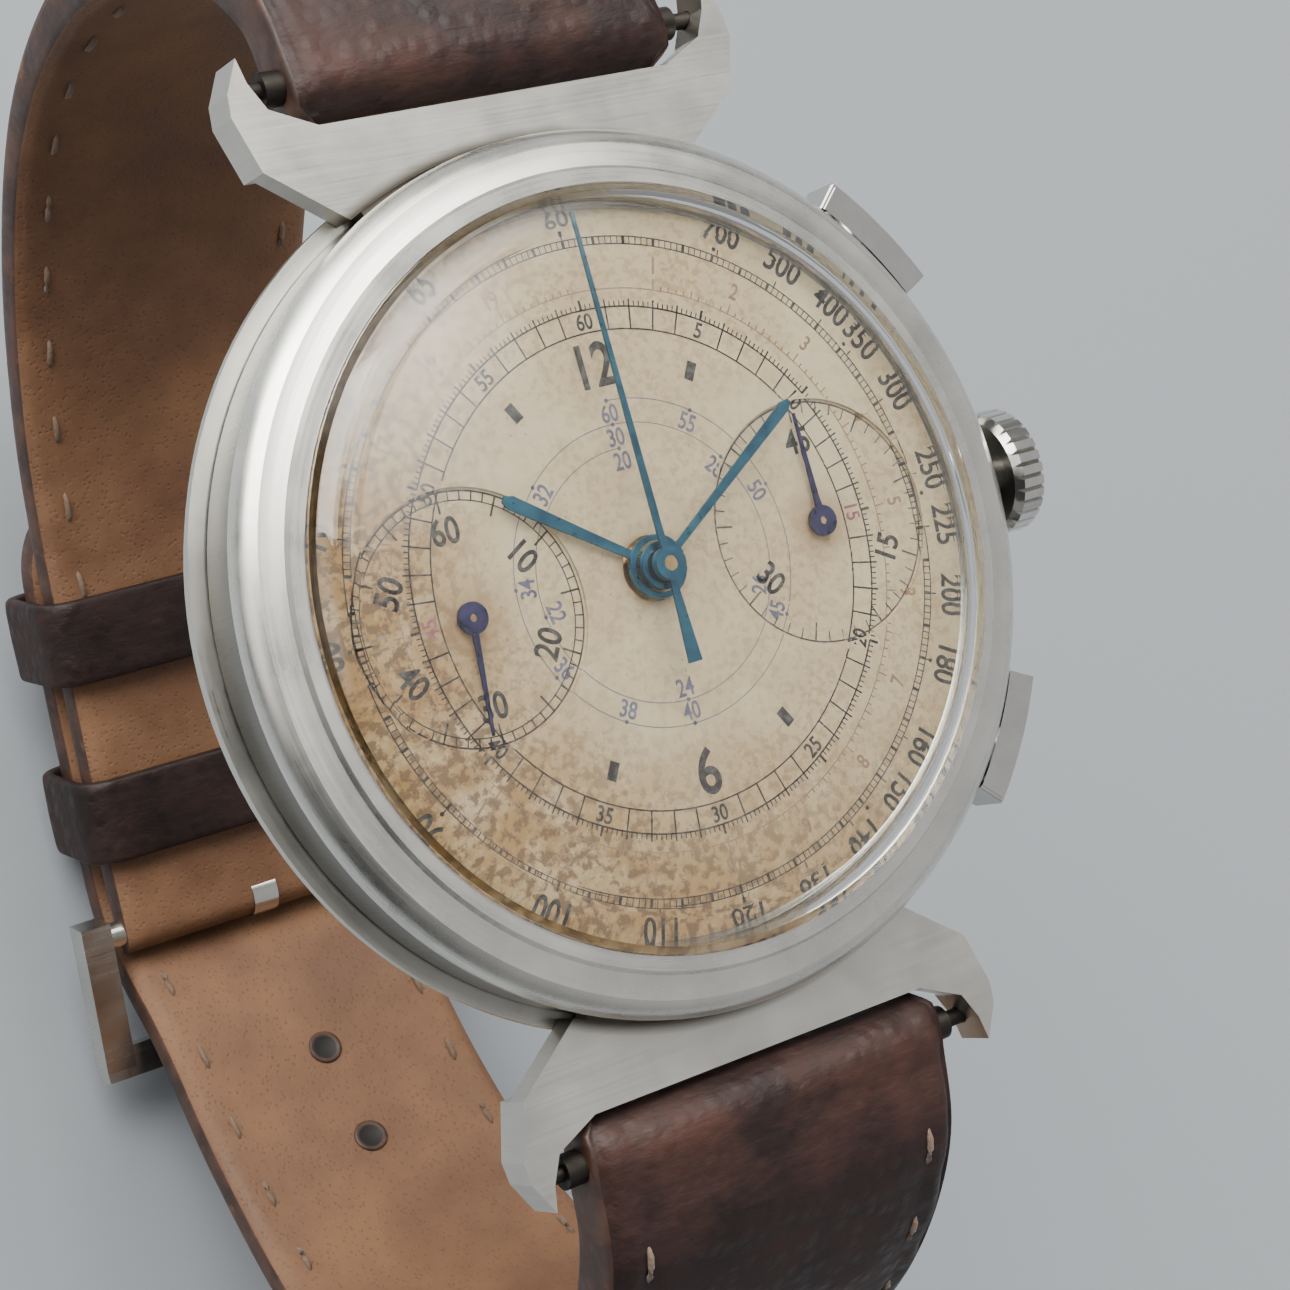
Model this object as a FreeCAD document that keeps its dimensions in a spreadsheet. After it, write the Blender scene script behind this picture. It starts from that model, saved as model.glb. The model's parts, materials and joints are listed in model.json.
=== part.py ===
"""A two-register wrist chronograph with hooded lugs, closed on its leather strap.

Frame: the origin is the centre of the case back's flat face. +Z runs out through the dial,
+Y points to 12 o'clock and +X to 3 o'clock, where the crown is. Lengths are in millimetres.
The hands stand at 10:09:31 with the chronograph at zero.
"""
import FreeCAD, Part
import math
import os

import Sketcher

Vector = FreeCAD.Vector
Rotation = FreeCAD.Rotation
Placement = FreeCAD.Placement

# ------------------------------------------------------------------ driving dimensions

DRIVING_SIZES = {
    # case, seen from the back to the front
    "back_flat_radius": 13.2, "back_floor": 0.8, "rim_radius": 18.0, "rim_low": 3.95, "rim_top": 4.35,
    "back_wall_radius": 16.95, "spigot_radius": 16.9, "spigot_low": 3.0, "band_inner": 15.75,
    "band_radius": 17.3, "band_low": 4.5, "band_top": 6.85, "bezel_radius": 17.45, "bezel_top": 8.3,
    "lip_radius": 15.5, "glass_radius": 15.0, "glass_flange": 15.4, "glass_inner": 14.45,
    "glass_seat": 7.05, "glass_wall_top": 8.55, "glass_crown": 10.7, "glass_thickness": 0.7,
    # hooded lugs and strap
    "lug_top": 5.6, "lug_low": 4.4, "hood_low": 4.85, "horn_low": 3.7, "hood_edge": 19.5,
    "hood_half_width": 7.95, "bar_y": 21.4, "bar_z": 4.3, "bar_radius": 0.7, "bar_half_length": 10.6,
    "strap_width": 16.0, "strap_lug_width": 17.2,
    # crown, stem and pushers
    "stem_z": 5.2, "stem_radius": 0.55, "tube_radius": 0.82, "tube_bore": 0.62,
    "crown_radius": 2.65, "crown_start": 18.08, "crown_length": 1.85, "crown_seat_gap": 0.15,
    "pusher_y": 10.6, "pusher_z": 5.5, "pusher_stem": 0.45, "pusher_travel": 0.6,
    "cap_inner": 17.9, "cap_outer": 19.2, "cap_half_height": 1.1, "pusher_tube": 0.9, "pusher_bore": 0.75, "pusher_tube_start": 11.9, "pusher_tube_end": 14.35,
    "pusher_shoulder": 0.13, "pusher_collar": 0.3, "spring_coil_radius": 0.6, "spring_wire": 0.14,
    # dial and hands
    "dial_radius": 15.45, "dial_low": 6.6, "dial_top": 7.0, "subdial_offset": 8.17,
    "subdial_radius": 4.99, "subdial_depth": 0.15, "hour_reach": 7.0, "minute_reach": 9.1,
    "chrono_reach": 14.0, "chrono_tail": 3.9, "small_reach": 4.45,
    # movement
    "plate_radius": 15.7, "plate_low": 5.2, "plate_top": 6.58, "motion_floor": 5.9,
    "bridge_low": 2.9, "bridge_top": 3.5, "bridge_radius": 15.4, "chrono_bridge_low": 1.0,
    "chrono_bridge_top": 1.45, "pivot_radius": 0.12, "jewel_radius": 0.45, "jewel_bore": 0.16,
    "barrel_module": 0.155, "centre_module": 0.11, "third_module": 0.09, "fourth_module": 0.085,
    "motion_module": 0.11, "winding_module": 0.2, "chrono_module": 0.08, "counter_module": 0.09,
    "escape_radius": 2.3, "balance_radius": 4.4,
}

document = FreeCAD.newDocument("WristChronograph")
sheet = document.addObject("Spreadsheet::Sheet", "Sizes")
for row, (alias, number) in enumerate(DRIVING_SIZES.items(), start=1):
    sheet.set("A" + str(row), alias.replace("_", " "))
    sheet.set("B" + str(row), str(number))
    sheet.setAlias("B" + str(row), alias)
document.recompute()


class Size:
    """A length that knows its value and the sheet expression that gives it."""

    def __init__(self, value, text):
        self.value = value
        self.text = text

    def __add__(self, other):
        other = as_size(other)
        return Size(self.value + other.value, "(" + self.text + " + " + other.text + ")")

    def __sub__(self, other):
        other = as_size(other)
        return Size(self.value - other.value, "(" + self.text + " - " + other.text + ")")

    def __mul__(self, factor):
        return Size(self.value * factor, "(" + self.text + " * " + str(factor) + ")")

    def __neg__(self):
        return self * -1.0


def as_size(item):
    """Give a plain number as a Size."""
    if isinstance(item, Size):
        return item
    return Size(float(item), "(" + str(float(item)) + ")")


def size(alias):
    """The named driving dimension, read back from the sheet."""
    return Size(float(sheet.get(alias)), "Sizes." + alias)


def number(item):
    """The plain value of a Size, an alias or a number."""
    return size(item).value if isinstance(item, str) else as_size(item).value


# ------------------------------------------------------------------ building blocks

def new_body(label, x=0.0, y=0.0, z=0.0, turn=0.0):
    """A PartDesign body with its label, moved to (x, y, z) and turned about its own Z."""
    body = document.addObject("PartDesign::Body", label)
    body.Label = label
    body.AllowCompound = True
    body.Placement = Placement(Vector(number(x), number(y), number(z)), Rotation(Vector(0, 0, 1), turn))
    for axis, item in (("x", x), ("y", y), ("z", z)):
        if isinstance(item, Size):
            body.setExpression("Placement.Base." + axis, item.text)
    return body


def origin_part(body, role):
    return [feature for feature in body.Origin.OriginFeatures if feature.Role == role][0]


def new_sketch(body, plane="XY_Plane", height=0.0, turn=0.0):
    """A sketch on one of the body's own planes, at a height along the plane's normal."""
    sketch = body.newObject("Sketcher::SketchObject", body.Name + "_sketch")
    sketch.AttachmentSupport = [(origin_part(body, plane), "")]
    sketch.MapMode = "FlatFace"
    sketch.AttachmentOffset = Placement(Vector(0, 0, 0), Rotation(Vector(0, 0, 1), turn))
    sketch.setExpression("AttachmentOffset.Base.z", as_size(height).text)
    return sketch


def pin_point(sketch, constraints, bindings, geometry, end, u, v):
    """Tie a sketch point to its place from the sketch's origin."""
    for kind, item, axis in (("DistanceX", u, -2), ("DistanceY", v, -1)):
        item = as_size(item)
        if abs(item.value) < 1e-9:
            constraints.append(Sketcher.Constraint("PointOnObject", geometry, end, axis))
            continue
        bindings.append((len(constraints), item.text))
        constraints.append(Sketcher.Constraint(kind, -1, 1, geometry, end, item.value))


def bind(sketch, constraints, bindings):
    """Add the constraints and bind each dimension to its expression."""
    start = sketch.ConstraintCount
    sketch.addConstraint(constraints)
    for index, text in bindings:
        sketch.setExpression("Constraints[" + str(start + index) + "]", text)


def arc_between(start, end, radius):
    """The arc from start to end: a positive radius turns left, a negative one right."""
    chord = end - start
    height = math.sqrt(max(radius * radius - (chord.Length / 2) ** 2, 0.0))
    normal = Vector(-chord.y, chord.x, 0).normalize()
    centre = (start + end) * 0.5 + normal * (height if radius > 0 else -height)
    first, last = (start, end) if radius > 0 else (end, start)
    angles = [math.atan2(point.y - centre.y, point.x - centre.x) for point in (first, last)]
    circle = Part.Circle(centre, Vector(0, 0, 1), abs(radius))
    return Part.ArcOfCircle(circle, angles[0], angles[1] + (2 * math.pi if angles[1] < angles[0] else 0.0))


def outline(sketch, points):
    """A closed outline. A third value in a point is the radius of the arc to the next point."""
    constraints = []
    bindings = []
    base = sketch.GeometryCount
    ends = []
    spots = [Vector(number(point[0]), number(point[1]), 0) for point in points]
    for index, point in enumerate(points):
        following = spots[(index + 1) % len(points)]
        if len(point) == 3:
            sketch.addGeometry(arc_between(spots[index], following, number(point[2])), False)
            ends.append((1, 2) if number(point[2]) > 0 else (2, 1))
            bindings.append((len(constraints), (as_size(point[2]) * math.copysign(1, number(point[2]))).text))
            constraints.append(Sketcher.Constraint("Radius", base + index, abs(number(point[2]))))
        else:
            sketch.addGeometry(Part.LineSegment(spots[index], following), False)
            ends.append((1, 2))
    for index, point in enumerate(points):
        following = (index + 1) % len(points)
        join = (base + index, ends[index][1], base + following, ends[following][0])
        constraints.append(Sketcher.Constraint("Coincident", *join))
        pin_point(sketch, constraints, bindings, base + index, ends[index][0], point[0], point[1])
    bind(sketch, constraints, bindings)


def circle(sketch, radius, u=0.0, v=0.0):
    """A circle in a sketch, with its centre and radius bound."""
    curve = Part.Circle(Vector(number(u), number(v), 0), Vector(0, 0, 1), number(radius))
    index = sketch.addGeometry(curve, False)
    constraints = [Sketcher.Constraint("Radius", index, number(radius))]
    bindings = [(0, as_size(radius).text)]
    pin_point(sketch, constraints, bindings, index, 3, u, v)
    bind(sketch, constraints, bindings)


def draw(sketch, shapes):
    """Draw circles, given as ("circle", radius, u, v), and outlines, given as point lists."""
    for shape in shapes:
        if shape[0] == "circle":
            circle(sketch, *shape[1:])
        else:
            outline(sketch, shape)


def pad(body, shapes, low, high, plane="XY_Plane", turn=0.0):
    """Add material between two heights along the plane's normal."""
    sketch = new_sketch(body, plane, low, turn)
    draw(sketch, shapes)
    feature = body.newObject("PartDesign::Pad", body.Name + "_pad")
    feature.Profile = sketch
    feature.setExpression("Length", (as_size(high) - low).text)
    body.Tip = feature
    return feature


def pocket(body, shapes, low, high, plane="XY_Plane", turn=0.0):
    """Take material away between two heights along the plane's normal."""
    document.recompute()
    before = body.Tip.Shape.Volume
    sketch = new_sketch(body, plane, high, turn)
    draw(sketch, shapes)
    feature = body.newObject("PartDesign::Pocket", body.Name + "_pocket")
    feature.Profile = sketch
    feature.setExpression("Length", (as_size(high) - low).text)
    body.Tip = feature
    document.recompute()
    if feature.Shape.Volume >= before - 1e-6:
        raise ValueError("a pocket of " + body.Label + " cuts nothing")
    return feature


def around(body, feature, count, axis="Z_Axis"):
    """Repeat a feature evenly round one of the body's axes."""
    pattern = body.newObject("PartDesign::PolarPattern", body.Name + "_pattern")
    pattern.Originals = [feature]
    pattern.Axis = (origin_part(body, axis), [""])
    pattern.Angle = 360
    pattern.Occurrences = count
    body.Tip = pattern
    return pattern


def revolve(body, points, plane="XZ_Plane", axis="V_Axis"):
    """Turn an outline of (radius, height) points about the body's Z, or about X with H_Axis."""
    sketch = new_sketch(body, plane)
    outline(sketch, points)
    feature = body.newObject("PartDesign::Revolution", body.Name + "_turned")
    feature.Profile = sketch
    feature.ReferenceAxis = (sketch, [axis])
    feature.Angle = 360
    body.Tip = feature
    return feature


def steps_outline(steps, bore=0.0):
    """The half section of stacked discs, each (radius, low, high), from low to high."""
    points = [(bore, steps[0][1])]
    for radius, low, high in steps:
        points.append((radius, low))
        points.append((radius, high))
    points.append((bore, steps[-1][2]))
    return points


def turned(label, steps, bore=0.0, x=0.0, y=0.0, turn=0.0):
    """A turned piece about Z, from stacked discs."""
    body = new_body(label, x, y, 0.0, turn)
    revolve(body, steps_outline(steps, bore))
    return body


def turned_x(label, steps, bore=0.0, y=0.0, z=0.0):
    """A turned piece about X, from stacked discs given as (radius, start, end)."""
    body = new_body(label, 0.0, y, z)
    points = [(along, radius) for radius, along in steps_outline(steps, bore)]
    revolve(body, points, "XZ_Plane", "H_Axis")
    return body


def strip(points, half):
    """The outline of a flat bar that follows a line of points, half as wide each side."""
    sides = ([], [])
    for index, (x, y) in enumerate(points):
        arms = []
        if index > 0:
            arms.append(Vector(x - points[index - 1][0], y - points[index - 1][1], 0).normalize())
        if index < len(points) - 1:
            arms.append(Vector(points[index + 1][0] - x, points[index + 1][1] - y, 0).normalize())
        along = Vector(*sum(arms, Vector())).normalize()
        reach = half / max(along.dot(arms[0]), 0.5)
        sides[0].append((x - along.y * reach, y + along.x * reach))
        sides[1].append((x + along.y * reach, y - along.x * reach))
    return sides[0][::-1] + sides[1]


def sector(inner, outer, start, end):
    """A ring sector between two radii and two angles in degrees."""
    corners = []
    for radius, angle in ((inner, start), (outer, start), (outer, end), (inner, end)):
        corners.append((radius * math.cos(math.radians(angle)), radius * math.sin(math.radians(angle))))
    return [corners[0], corners[1] + (outer,), corners[2], corners[3] + (-inner,)]


def polar(distance, angle, x=0.0, y=0.0):
    return (x + distance * math.cos(math.radians(angle)), y + distance * math.sin(math.radians(angle)))


TOOTH_FOOT = 0.25       # half widths of a tooth as parts of the pitch
TOOTH_MIDDLE = 0.18
TOOTH_TIP = 0.07
ADDENDUM = 0.85         # heights of a tooth as parts of the module
DEDENDUM = 1.25


def root_radius(count, module):
    return number(module) * (count / 2 - DEDENDUM)


def tip_radius(count, module):
    return number(module) * (count / 2 + ADDENDUM)


def teeth(body, count, module, low, high, phase=0.0):
    """A ring of teeth; phase is the angle in degrees of one tooth."""
    module = as_size(module)
    pitch = math.pi
    profile = []
    for reach, half in ((count / 2 - DEDENDUM - 0.3, TOOTH_FOOT), (count / 2, TOOTH_MIDDLE),
                        (count / 2 + ADDENDUM, TOOTH_TIP)):
        profile.append((module * reach, module * (half * pitch)))
    mirrored = [(u, -v) for u, v in profile]
    tooth = pad(body, [mirrored + profile[::-1]], low, high, turn=phase)
    return around(body, tooth, count)


def windows(body, count, inner, outer, low, high, arm=0.3):
    """Crossings: openings between the spokes of a wheel."""
    half = 180.0 / count
    gap_in = math.degrees(arm / inner)
    gap_out = math.degrees(arm / outer)
    corners = [polar(inner, -half + gap_in), polar(outer, -half + gap_out),
               polar(outer, half - gap_out), polar(inner, half - gap_in)]
    shape = [corners[0], corners[1] + (outer,), corners[2], corners[3] + (-inner,)]
    return around(body, pocket(body, [shape], low, high), count)


def mesh_phase(first, phase, count, second, other_count):
    """The tooth angle that puts the second wheel in mesh with the first."""
    line = math.degrees(math.atan2(second[1] - first[1], second[0] - first[0]))
    share = ((line - phase) / (360.0 / count)) % 1.0
    return line + 180.0 + (share + 0.5) * 360.0 / other_count


def triangle_point(first, second, reach_first, reach_second, side):
    """The point at two distances from two others, left (+1) or right (-1) of their line."""
    gap = Vector(second[0] - first[0], second[1] - first[1], 0)
    along = (reach_first ** 2 - reach_second ** 2 + gap.Length ** 2) / (2 * gap.Length)
    across = side * math.sqrt(reach_first ** 2 - along ** 2)
    unit = Vector(*gap).normalize()
    return (first[0] + unit.x * along - unit.y * across, first[1] + unit.y * along + unit.x * across)


def distance(first, second):
    return math.hypot(second[0] - first[0], second[1] - first[1])


def heading(first, second):
    return math.degrees(math.atan2(second[1] - first[1], second[0] - first[0]))


def plain_feature(label, shape):
    """A sub-part whose shape comes from curves that sketches do not suit."""
    feature = document.addObject("Part::Feature", label)
    feature.Label = label
    feature.Shape = shape
    return feature


def face_between(first, second):
    """The flat face between two smooth lines, each through its own points."""
    edges = []
    for points in (first, second):
        curve = Part.BSplineCurve()
        curve.interpolate(points)
        edges.append(curve.toShape())
    for index in (0, -1):
        edges.append(Part.LineSegment(first[index], second[index]).toShape())
    return Part.Face(Part.Wire(Part.__sortEdges__(edges)))


# ------------------------------------------------------------------ centres of the movement

CENTRE = (0.0, 0.0)
SECONDS = (-number("subdial_offset"), 0.0)
COUNTER = (number("subdial_offset"), 0.0)
BARREL_TEETH, CENTRE_LEAVES = 80, 10
CENTRE_TEETH, THIRD_LEAVES = 80, 10
THIRD_TEETH, FOURTH_LEAVES = 75, 10
FOURTH_TEETH, ESCAPE_LEAVES = 80, 8
ESCAPE_TEETH = 15
CANNON_LEAVES, MINUTE_TEETH = 12, 36
MINUTE_LEAVES, HOUR_TEETH = 10, 40
CROWN_TEETH, RATCHET_TEETH = 22, 55
RUNNER_TEETH, COUPLING_TEETH = 70, 40
COUNTER_TEETH, INTERMEDIATE_TEETH = 45, 30


def centre_distance(module, first, second):
    return number(module) * (first + second) / 2


BARREL = polar(centre_distance("barrel_module", BARREL_TEETH, CENTRE_LEAVES), 57.0)
THIRD = triangle_point(CENTRE, SECONDS, centre_distance("centre_module", CENTRE_TEETH, THIRD_LEAVES),
                       centre_distance("third_module", THIRD_TEETH, FOURTH_LEAVES), -1)
ESCAPE = polar(centre_distance("fourth_module", FOURTH_TEETH, ESCAPE_LEAVES), -80.0, *SECONDS)
BALANCE = (-1.8, -10.3)
PALLET_DISTANCE = 3.0
PALLET = polar(PALLET_DISTANCE, heading(ESCAPE, BALANCE), *ESCAPE)
MINUTE_WHEEL = polar(centre_distance("motion_module", CANNON_LEAVES, MINUTE_TEETH), -45.0)
CROWN_WHEEL = (10.2, 1.6)
COLUMN_WHEEL = (9.9, 9.2)
OPERATING_PIVOT = (12.0, 5.3)
HAMMER_PIVOT = (11.0, -5.2)
INTERMEDIATE = polar(centre_distance("counter_module", COUNTER_TEETH, INTERMEDIATE_TEETH), 160.0, *COUNTER)
COUPLING_ARM = centre_distance("chrono_module", RUNNER_TEETH, COUPLING_TEETH)
COUPLING_GAP = 0.42
COUPLING_WHEEL = triangle_point(SECONDS, CENTRE, COUPLING_ARM, COUPLING_ARM + COUPLING_GAP, 1)
CLICK_PIVOT = polar(7.3, 75.0, *BARREL)


# ------------------------------------------------------------------ case

AXIS_FLAT = 0.15        # radius of the small flat where a domed face meets its axis


def make_case_middle():
    """The band with its spigot for the snap back, bored for the crown tube and pusher tubes."""
    inner = size("band_inner")
    body = turned("case_middle", [(size("spigot_radius"), size("spigot_low"), size("band_low")),
                                  (size("band_radius"), size("band_low"), size("band_top"))], inner)
    bores = [("circle", size("tube_radius"), 0.0, size("stem_z"))]
    for side in (1, -1):
        bores.append(("circle", size("pusher_tube"), size("pusher_y") * side, size("pusher_z")))
    pocket(body, bores, 0.0, 20.0, "YZ_Plane")


def make_bezel():
    """A stepped ring: rounded shoulder, shallow hollow and a thin raised lip over the glass."""
    top = size("bezel_top")
    low = size("band_top")
    lip = size("lip_radius")
    opening = size("glass_radius") + 0.03
    ledge = size("glass_seat") + 0.53
    body = new_body("bezel")
    revolve(body, [(opening, ledge), (lip, ledge), (lip, low), (size("bezel_radius"), low),
                   (size("bezel_radius"), low + 0.25, 1.6), (size("bezel_radius") - 0.75, top - 0.4, -4.0),
                   (lip + 0.25, top - 0.22), (lip + 0.1, top - 0.02), (opening, top)])


def make_crystal():
    """The domed glass: an upright wall on a flange, a quick shoulder and a shallow dome."""
    wall = size("glass_wall_top")
    crown = size("glass_crown")
    under = crown - size("glass_thickness")
    outer = size("glass_radius")
    inner = size("glass_inner")
    seat = size("glass_seat")
    flange = size("glass_flange")
    body = new_body("crystal")
    revolve(body, [(inner, seat), (flange, seat), (flange, seat + 0.48), (outer, seat + 0.48),
                   (outer, wall, 1.9), (outer - 1.4, wall + 0.85, 71.0), (AXIS_FLAT, crown), (0.0, crown),
                   (0.0, under), (AXIS_FLAT, under, -73.0), (inner - 1.3, wall + 0.28, -1.7),
                   (inner, wall - 0.35)])


def make_case_back():
    """The snap back: a flat face, a curved flank and a thin rim that stands out like a knife edge."""
    rim = size("rim_radius")
    body = new_body("case_back")
    revolve(body, [(0.0, 0.0), (size("back_flat_radius"), 0.0, 6.0), (rim - 0.5, 2.6),
                   (rim - 0.5, size("rim_low") - 0.25), (rim, size("rim_low")), (rim, size("rim_top")),
                   (size("back_wall_radius"), size("rim_top")), (size("back_wall_radius"), 2.9, -6.5),
                   (size("back_flat_radius"), size("back_floor")),
                   (0.0, size("back_floor"))])


def make_lug_hoods():
    """Two hooded lugs: a flat plate before the strap's end with two deeper, pointed horns beside it."""
    body = new_body("lug_hoods")
    edge = size("hood_edge")
    notch = size("hood_half_width")
    root = 15.75
    band_gap = 17.55
    root_x = math.sqrt(band_gap ** 2 - root ** 2)
    horn = [(10.75, 18.1), (11.4, 20.3), (11.3, 21.2), (10.6, 22.5), (10.4, 21.5), (9.85, 20.4)]
    plates = []
    horns = []
    for side in (1, -1):
        half = [(root_x, root)] + horn + [(notch, edge)]
        right = [(x, as_size(y) * side) for x, y in half]
        left = [(-as_size(x), y) for x, y in right[::-1]]
        ring = right + left
        ring[-1] = ring[-1] + (-band_gap * side,)
        plates.append(ring)
        for sign in (1, -1):
            horns.append([(x * sign, y * side) for x, y in horn + [(9.85, 18.1)]])
    pad(body, plates, size("lug_low"), size("lug_top"))
    pad(body, horns, size("horn_low"), size("lug_top"))
    seats = [sector(number("band_radius"), band_gap + 0.4, angle - 24.0, angle + 24.0)
             for angle in (90.0, 270.0)]
    pad(body, seats, size("lug_low") + 0.1, size("lug_top") - 0.2)
    hollows = []
    for side in (1, -1):
        hollows.append([(-notch, (edge - 0.8) * side), (notch, (edge - 0.8) * side),
                        (notch, (edge + 1.0) * side), (-notch, (edge + 1.0) * side)])
    pocket(body, hollows, size("lug_low") - 0.1, size("hood_low"))
    bores = [("circle", size("bar_radius") * 0.5 + 0.03, size("bar_y") * side, size("bar_z"))
             for side in (1, -1)]
    pocket(body, bores, -size("bar_half_length") - 0.1, size("bar_half_length") + 0.1, "YZ_Plane")


def make_spring_bars():
    """Two strap bars: a thicker middle and thin ends that spring into the horns."""
    body = new_body("spring_bars")
    for side in (1, -1):
        middle = [("circle", size("bar_radius"), size("bar_y") * side, size("bar_z"))]
        pad(body, middle, -9.4, 9.4, "YZ_Plane")
        tips = [("circle", size("bar_radius") * 0.5, size("bar_y") * side, size("bar_z"))]
        pad(body, tips, -size("bar_half_length"), size("bar_half_length"), "YZ_Plane")


def make_crown_group():
    """Crown tube, knurled crown and winding stem, all on the stem's line."""
    stem_z = size("stem_z")
    start = size("crown_start")
    radius = size("crown_radius")
    turned_x("crown_tube", [(size("tube_radius"), size("band_inner"), start - size("crown_seat_gap"))],
             size("tube_bore"), 0.0, stem_z)
    turned_x("winding_stem", [(0.3, 9.3, 10.2), (size("stem_radius"), 10.2, start + 0.6)], 0.0, 0.0, stem_z)
    crown = new_body("crown", 0.0, 0.0, stem_z)
    length = size("crown_length")
    revolve(crown, [(start, size("stem_radius") + 0.02), (start, radius - 0.3), (start + 0.3, radius),
                    (start + length - 0.5, radius, 1.2), (start + length, radius - 0.75, 12.0),
                    (start + length + 0.22, AXIS_FLAT), (start + length + 0.22, 0.0),
                    (start + 0.62, 0.0), (start + 0.62, size("stem_radius") + 0.02)], "XZ_Plane", "H_Axis")
    groove_outer = radius + 0.2
    groove = [(-0.17, groove_outer), (0.0, radius - 0.24), (0.17, groove_outer)]
    knurl = pocket(crown, [groove], start - 0.1, start + length - 0.35, "YZ_Plane")
    around(crown, knurl, 30, "X_Axis")


def make_pushers():
    """Two oblong push buttons, their shouldered tubes and their return springs."""
    height = size("pusher_z")
    tube_end = size("pusher_tube_end")
    shoulder = tube_end - size("pusher_shoulder")
    bore = size("pusher_bore")
    tubes = new_body("pusher_tubes")
    for low, high, opening in ((size("pusher_tube_start"), shoulder, bore),
                               (shoulder, tube_end, size("pusher_stem") + 0.04)):
        rings = []
        for side in (1, -1):
            rings.append(("circle", size("pusher_tube"), size("pusher_y") * side, height))
            rings.append(("circle", opening, size("pusher_y") * side, height))
        pad(tubes, rings, low, high, "YZ_Plane")
    for label, side in (("pusher_start", 1), ("pusher_reset", -1)):
        make_pusher(label, side)
        coil = pusher_spring(number(shoulder) - 0.02)
        coil.translate(Vector(0, number("pusher_y") * side, number(height)))
        plain_feature(label.replace("pusher", "spring"), coil)


def make_pusher(label, side):
    """An oblong button that follows the case's rim, on a stem with a collar inside the tube."""
    body = new_body(label, 0.0, size("pusher_y") * side, size("pusher_z"))
    seat = size("pusher_tube_end") + size("pusher_travel") + 0.1
    stem = size("pusher_stem")
    collar = size("pusher_bore") - 0.04
    inner = size("pusher_tube_start") - 0.15
    revolve(body, [(inner, 0.0), (inner, collar), (inner + size("pusher_collar"), collar),
                   (inner + size("pusher_collar"), stem), (seat + 0.2, stem), (seat + 0.2, 0.0)],
            "XZ_Plane", "H_Axis")
    middle, half_angle = 35.5 * side, 8.5
    for bevel, lower in ((0.16, 0.0), (0.05, 0.06), (0.0, 0.18)):
        spread = half_angle - bevel * 3.0
        corners = sector(number("cap_inner"), number("cap_outer") - bevel, middle - spread, middle + spread)
        cap = [(corner[0], corner[1] - number("pusher_y") * side) + corner[2:] for corner in corners]
        height = size("cap_half_height") - lower
        pad(body, [cap], -height, height)
    well = [("circle", size("pusher_tube") + 0.05, 0.0, 0.0), ("circle", stem, 0.0, 0.0)]
    pocket(body, well, size("pusher_tube_end") - 1.2, seat, "YZ_Plane")


def pusher_spring(end):
    """Five coils of square wire round the X axis, from the button's collar to the tube's shoulder."""
    start = number("pusher_tube_start") - 0.15 + number("pusher_collar") + 0.04
    radius = number("spring_coil_radius")
    half = number("spring_wire") / 2
    length = end - start - 2 * half
    helix = Part.makeHelix(length / 5, length, radius)
    corners = [Vector(radius + across * half, 0, along * half)
               for across, along in ((-1, -1), (1, -1), (1, 1), (-1, 1))]
    section = Part.makePolygon(corners + corners[:1])
    coil = Part.Wire(helix.Edges).makePipeShell([section], True, True)
    coil.rotate(Vector(0, 0, 0), Vector(0, 1, 0), 90)
    coil.translate(Vector(start + half, 0, 0))
    return coil


# ------------------------------------------------------------------ dial and hands

def make_dial():
    """The dial, with two sunk subdials and holes for the three sets of hands."""
    body = turned("dial", [(size("dial_radius"), size("dial_low"), size("dial_top"))])
    sinks = [("circle", size("subdial_radius"), size("subdial_offset") * side, 0.0) for side in (1, -1)]
    pocket(body, sinks, size("dial_top") - size("subdial_depth"), size("dial_top"))
    holes = [("circle", 1.3, 0.0, 0.0)]
    holes += [("circle", 0.28, size("subdial_offset") * side, 0.0) for side in (1, -1)]
    pocket(body, holes, size("dial_low"), size("dial_top"))


def make_hand(label, blade, low, high, pipe, x=0.0, clock_angle=0.0):
    """A hand: a flat blade that points to 12 before it is turned, on a round pipe."""
    outer, bore, pipe_low, pipe_high = pipe
    body = new_body(label, x, 0.0, 0.0, -clock_angle)
    pad(body, [blade], low, high)
    pad(body, [("circle", outer, 0.0, 0.0)], pipe_low, pipe_high)
    if bore:
        pocket(body, [("circle", bore, 0.0, 0.0)], pipe_low, pipe_high)


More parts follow.
